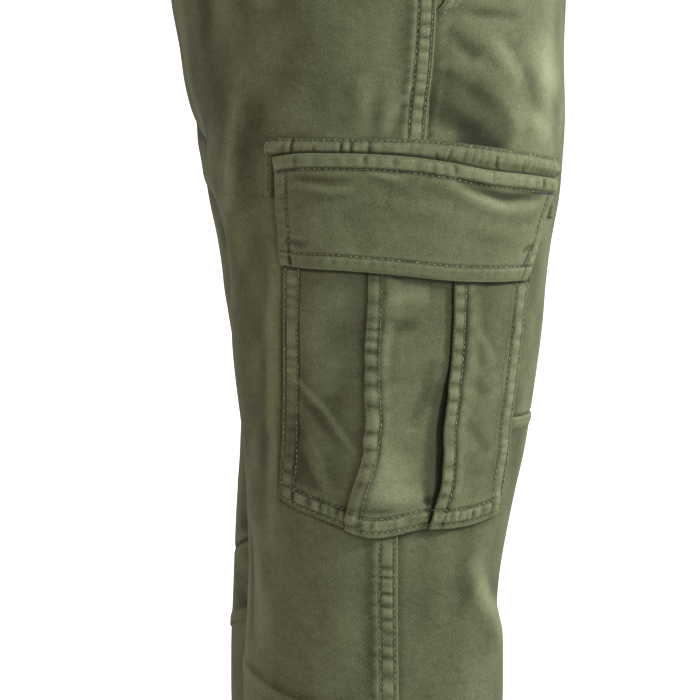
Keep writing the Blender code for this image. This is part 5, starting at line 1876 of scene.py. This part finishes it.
# %% Sew the panels
BELOW_POCKET = -0.507
hem_level = -HEM_DEPTH + HEM_ROW
for side in SIDES:
    backs = [panels["back_upper", side], panels["back_lower", side]]
    fronts = [panels["front_upper", side], panels["front_lower", side]]
    lines = []
    for number, row in enumerate(SIDE_ROWS):
        above = np.linspace(PANEL_TOP - 0.001, -STRIP_TOP + 0.001, 60)
        below = np.linspace(BELOW_POCKET, -HEM_DEPTH + 0.004, 60)
        lines += [stitch_row(above, -row, number), stitch_row(below, -row, 10 + number)]
    sew(f"side_seam_{side}_stitches", side, lines, backs)
    mouth = []
    for number, row in enumerate(MOUTH_ROWS):
        z = np.linspace(PANEL_TOP - 0.001, -MOUTH_DEPTH + 0.004, 40)
        mouth.append(stitch_row(z, mouth_edge(z) + row, 30 + number))
    mouth.append(stitches([(-0.170, 0.0098), (-0.174, 0.0058), (-0.181, 0.0012)], seed=33))
    mouth.append(bartack((-0.1660, 0.0050), (-0.1655, 0.0150), 0.0022))
    mouth.append(bartack((-0.0480, 0.0610), (-0.0480, 0.0520), 0.0022))
    sew(f"pocket_mouth_{side}_stitches", side, mouth, fronts + backs)
    behind, before = (edge_at(-1.02, front) for front in (False, True))
    hem = [
        stitch_row(hem_level, np.linspace(behind + 0.003, -0.001, 60), 41),
        stitch_row(hem_level, np.linspace(0.001, before - 0.003, 60), 42),
    ]
    sew(f"hem_{side}_stitches", side, hem, backs + fronts)
rise = []
for number, row in enumerate(RISE_ROWS):
    for front, top in ((True, -0.196), (False, PANEL_TOP - 0.001)):
        z = np.linspace(top, -CROTCH_DEPTH + 0.014, 40)
        s = edge_at(z, front) + (-row if front else row)
        rise.append(stitch_row(z, s, 50 + number))
sew("rise_stitches", "left", rise, uppers("left"))

# %% Sew the cargo pockets
for side in SIDES:
    s = np.linspace(STRIP_BACK + 0.001, STRIP_FRONT - 0.001, 60)
    lines = [stitch_row(cargo_line(STRIP_TOP, s) - STRIP_ROW, s, 61)]
    for end in (STRIP_BACK + STRIP_END_ROW, STRIP_FRONT - STRIP_END_ROW):
        top = float(cargo_line(STRIP_TOP, np.array(end)))
        lines.append(stitch_row(np.linspace(top - 0.003, top - STRIP_HEIGHT + 0.001, 60), end, 62))
    sew(f"cargo_strip_{side}_stitches", side, lines, [strips[side]])

    lines = []
    for number, row in enumerate(POCKET_FOOT_ROWS):
        s = np.linspace(-0.0795 + 0.0025, 0.0765 - 0.0025, 80)
        lines.append(stitch_row(pocket_foot(s) + row, s, 70 + number))
    for number, row in enumerate(POCKET_SIDE_ROWS):
        for column, inwards, foot in (("back", 1, -0.478), ("front", -1, -0.490)):
            z = np.linspace(-0.334, foot, 80)
            lines.append(stitch_row(z, pocket_line(column, z) + inwards * row, 72 + number))
    for column, row in zip(("pleat_1", "pleat_2"), PLEAT_ROWS):
        z = np.linspace(-0.336, -0.498, 80)
        lines.append(stitch_row(z, pocket_line(column, z) + row, 75))
    sew(f"cargo_pocket_{side}_stitches", side, lines, [pockets[side]])

    high, low = np.linspace(-0.0880, 0.0935, 80), np.linspace(-0.0775, 0.0700, 80)
    lines = [stitch_row(flap_top(high) - FLAP_TOP_ROW, high, 81)]
    lines.append(stitch_row(flap_foot(low) + FLAP_FOOT_ROW, low, 82))
    down = np.linspace(0.16, 0.86, 60)
    for column, inwards, across in (("back", 1, 0.0), ("front", -1, 1.0)):
        z, _ = flap_place(np.full_like(down, across), down)
        lines.append(stitch_row(z, flap_end(column, down) + inwards * FLAP_SIDE_ROW, 83))
    sew(f"cargo_flap_{side}_stitches", side, lines, [flaps[side]])
    tacks = [
        bartack((-0.2726, -0.0892), (-0.2724, -0.0800)),
        bartack((-0.2878, 0.0783), (-0.2886, 0.0925)),
        bartack((-0.3155, -0.0822), (-0.3240, -0.0788)),
        bartack((-0.3240, 0.0768), (-0.3345, 0.0715)),
    ]
    sew(f"cargo_flap_{side}_bartacks", side, tacks, [flaps[side]], tack_thread)

# %% Sew the waist
for side in SIDES:
    lines = []
    for number, row in enumerate(BAND_ROWS):
        ends = (float(edge_at(-row, False)) + 0.001, float(edge_at(-row, True)) - 0.001)
        lines.append(stitch_row(-row, np.linspace(*ends, 120), 91 + number))
    sew(f"waistband_{side}_stitches", side, lines, [band])
lines = []
for inset in FLY_ROWS:
    share = np.concatenate([np.linspace(0.005, FLY_STRAIGHT, 30), np.linspace(FLY_STRAIGHT, 0.985, 40)[1:]])
    z = FLY_TOP - share * (FLY_LENGTH - inset)
    bend = np.clip(share - FLY_STRAIGHT, 0, 1) / (1 - FLY_STRAIGHT)
    x = (FLY_WIDTH - inset) * np.sqrt(np.clip(1 - bend**2, 0.0, 1))
    s = [float(edge_at(level, True)) - max(place, 0.002) * 1.012 for level, place in zip(z, x)]
    lines.append(stitch_row(z, s, 95))
tack = [(z, float(edge_at(z, True)) - 0.003) for z in (-0.185, -0.193)]
lines.append(bartack(*tack))
sew("fly_stitches", "left", lines, [fly])
for number, ((place, middle), loop) in enumerate(zip(LOOP_PLACES, loops), start=1):
    at_back = place == "centre back"
    side = "left" if at_back else place
    lines = []
    for inset in (-LOOP_WIDTH / 2 + LOOP_ROW, LOOP_WIDTH / 2 - LOOP_ROW):
        z = np.linspace(-0.005, -0.049, 30)
        if at_back and inset < 0:
            continue
        s = edge_at(z, False) + inset if at_back else middle + inset
        lines.append(stitch_row(z, s, 97))
    for tack in LOOP_TACKS:
        centre = float(edge_at(tack, False)) + 0.0022 if at_back else middle
        reach = 0.0020 if at_back else LOOP_WIDTH / 2 - 0.0012
        lines.append(bartack((tack, centre - reach), (tack, centre + reach), 0.0018))
    sew(f"belt_loop_{number}_stitches", side, lines, [loop])

# %% [markdown]
# ## The buttonhole and the button's thread
#
# A buttonhole is a slit whose two edges are wrapped in close upright stitches,
# with a bartack at its end. The button covers half of it. The button itself hangs
# on loops of thread through its holes: each loop is a ring set on edge, of which
# only the upper arch is kept.

# %% Work the buttonhole
HOLE_LEVEL, HOLE_START, HOLE_END = -WAISTBAND_HEIGHT / 2, 0.0100, 0.0290
front_edge = float(edge_at(HOLE_LEVEL, True))
purls = []
for x in np.arange(HOLE_START, HOLE_END, 0.0007):
    for up in (-1, 1):
        levels = HOLE_LEVEL + up * np.array([0.0004, 0.0014, 0.0024])
        purls.append(np.stack([levels, np.full(3, front_edge - x)], -1)[None])
ends = [(HOLE_LEVEL + up, front_edge - HOLE_END) for up in (-0.0028, 0.0028)]
end_bar = bartack(*ends, 0.0018)
sew("buttonhole_stitches", "left", [*purls, end_bar], [band], tack_thread)

# %% Loop the thread through the button
THREAD_LOOP = 0.00042
arches = []
for up in (-1, 1):
    place = (0, up * ARCH, BUTTON_THICKNESS / 2 - BUTTON_DISH)
    bpy.ops.mesh.primitive_torus_add(
        major_radius=ARCH, minor_radius=THREAD_LOOP, major_segments=24, minor_segments=10,
        location=place, rotation=(math.pi / 2, 0, 0),
    )
    arch = bpy.context.object
    arch.scale.y = 0.55
    bpy.ops.object.transform_apply(location=True, rotation=True, scale=True)
    bpy.ops.object.mode_set(mode="EDIT")
    bpy.ops.mesh.select_all(action="SELECT")
    cut = (0, 0, place[2] - 0.0006)
    bpy.ops.mesh.bisect(plane_co=cut, plane_no=(0, 0, 1), use_fill=True, clear_inner=True)
    bpy.ops.object.mode_set(mode="OBJECT")
    arches.append(arch)
bpy.ops.object.select_all(action="DESELECT")
for arch in arches:
    arch.select_set(True)
bpy.context.view_layer.objects.active = arches[0]
bpy.ops.object.join()
button_thread = bpy.context.object
button_thread.name = "button_thread"
bpy.ops.object.shade_smooth_by_angle(angle=math.radians(40))
seat_on_band(button_thread)
button_thread.data.materials.append(tack_thread)
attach(button_thread, "root")
print("button thread:", len(button_thread.data.polygons), "faces")
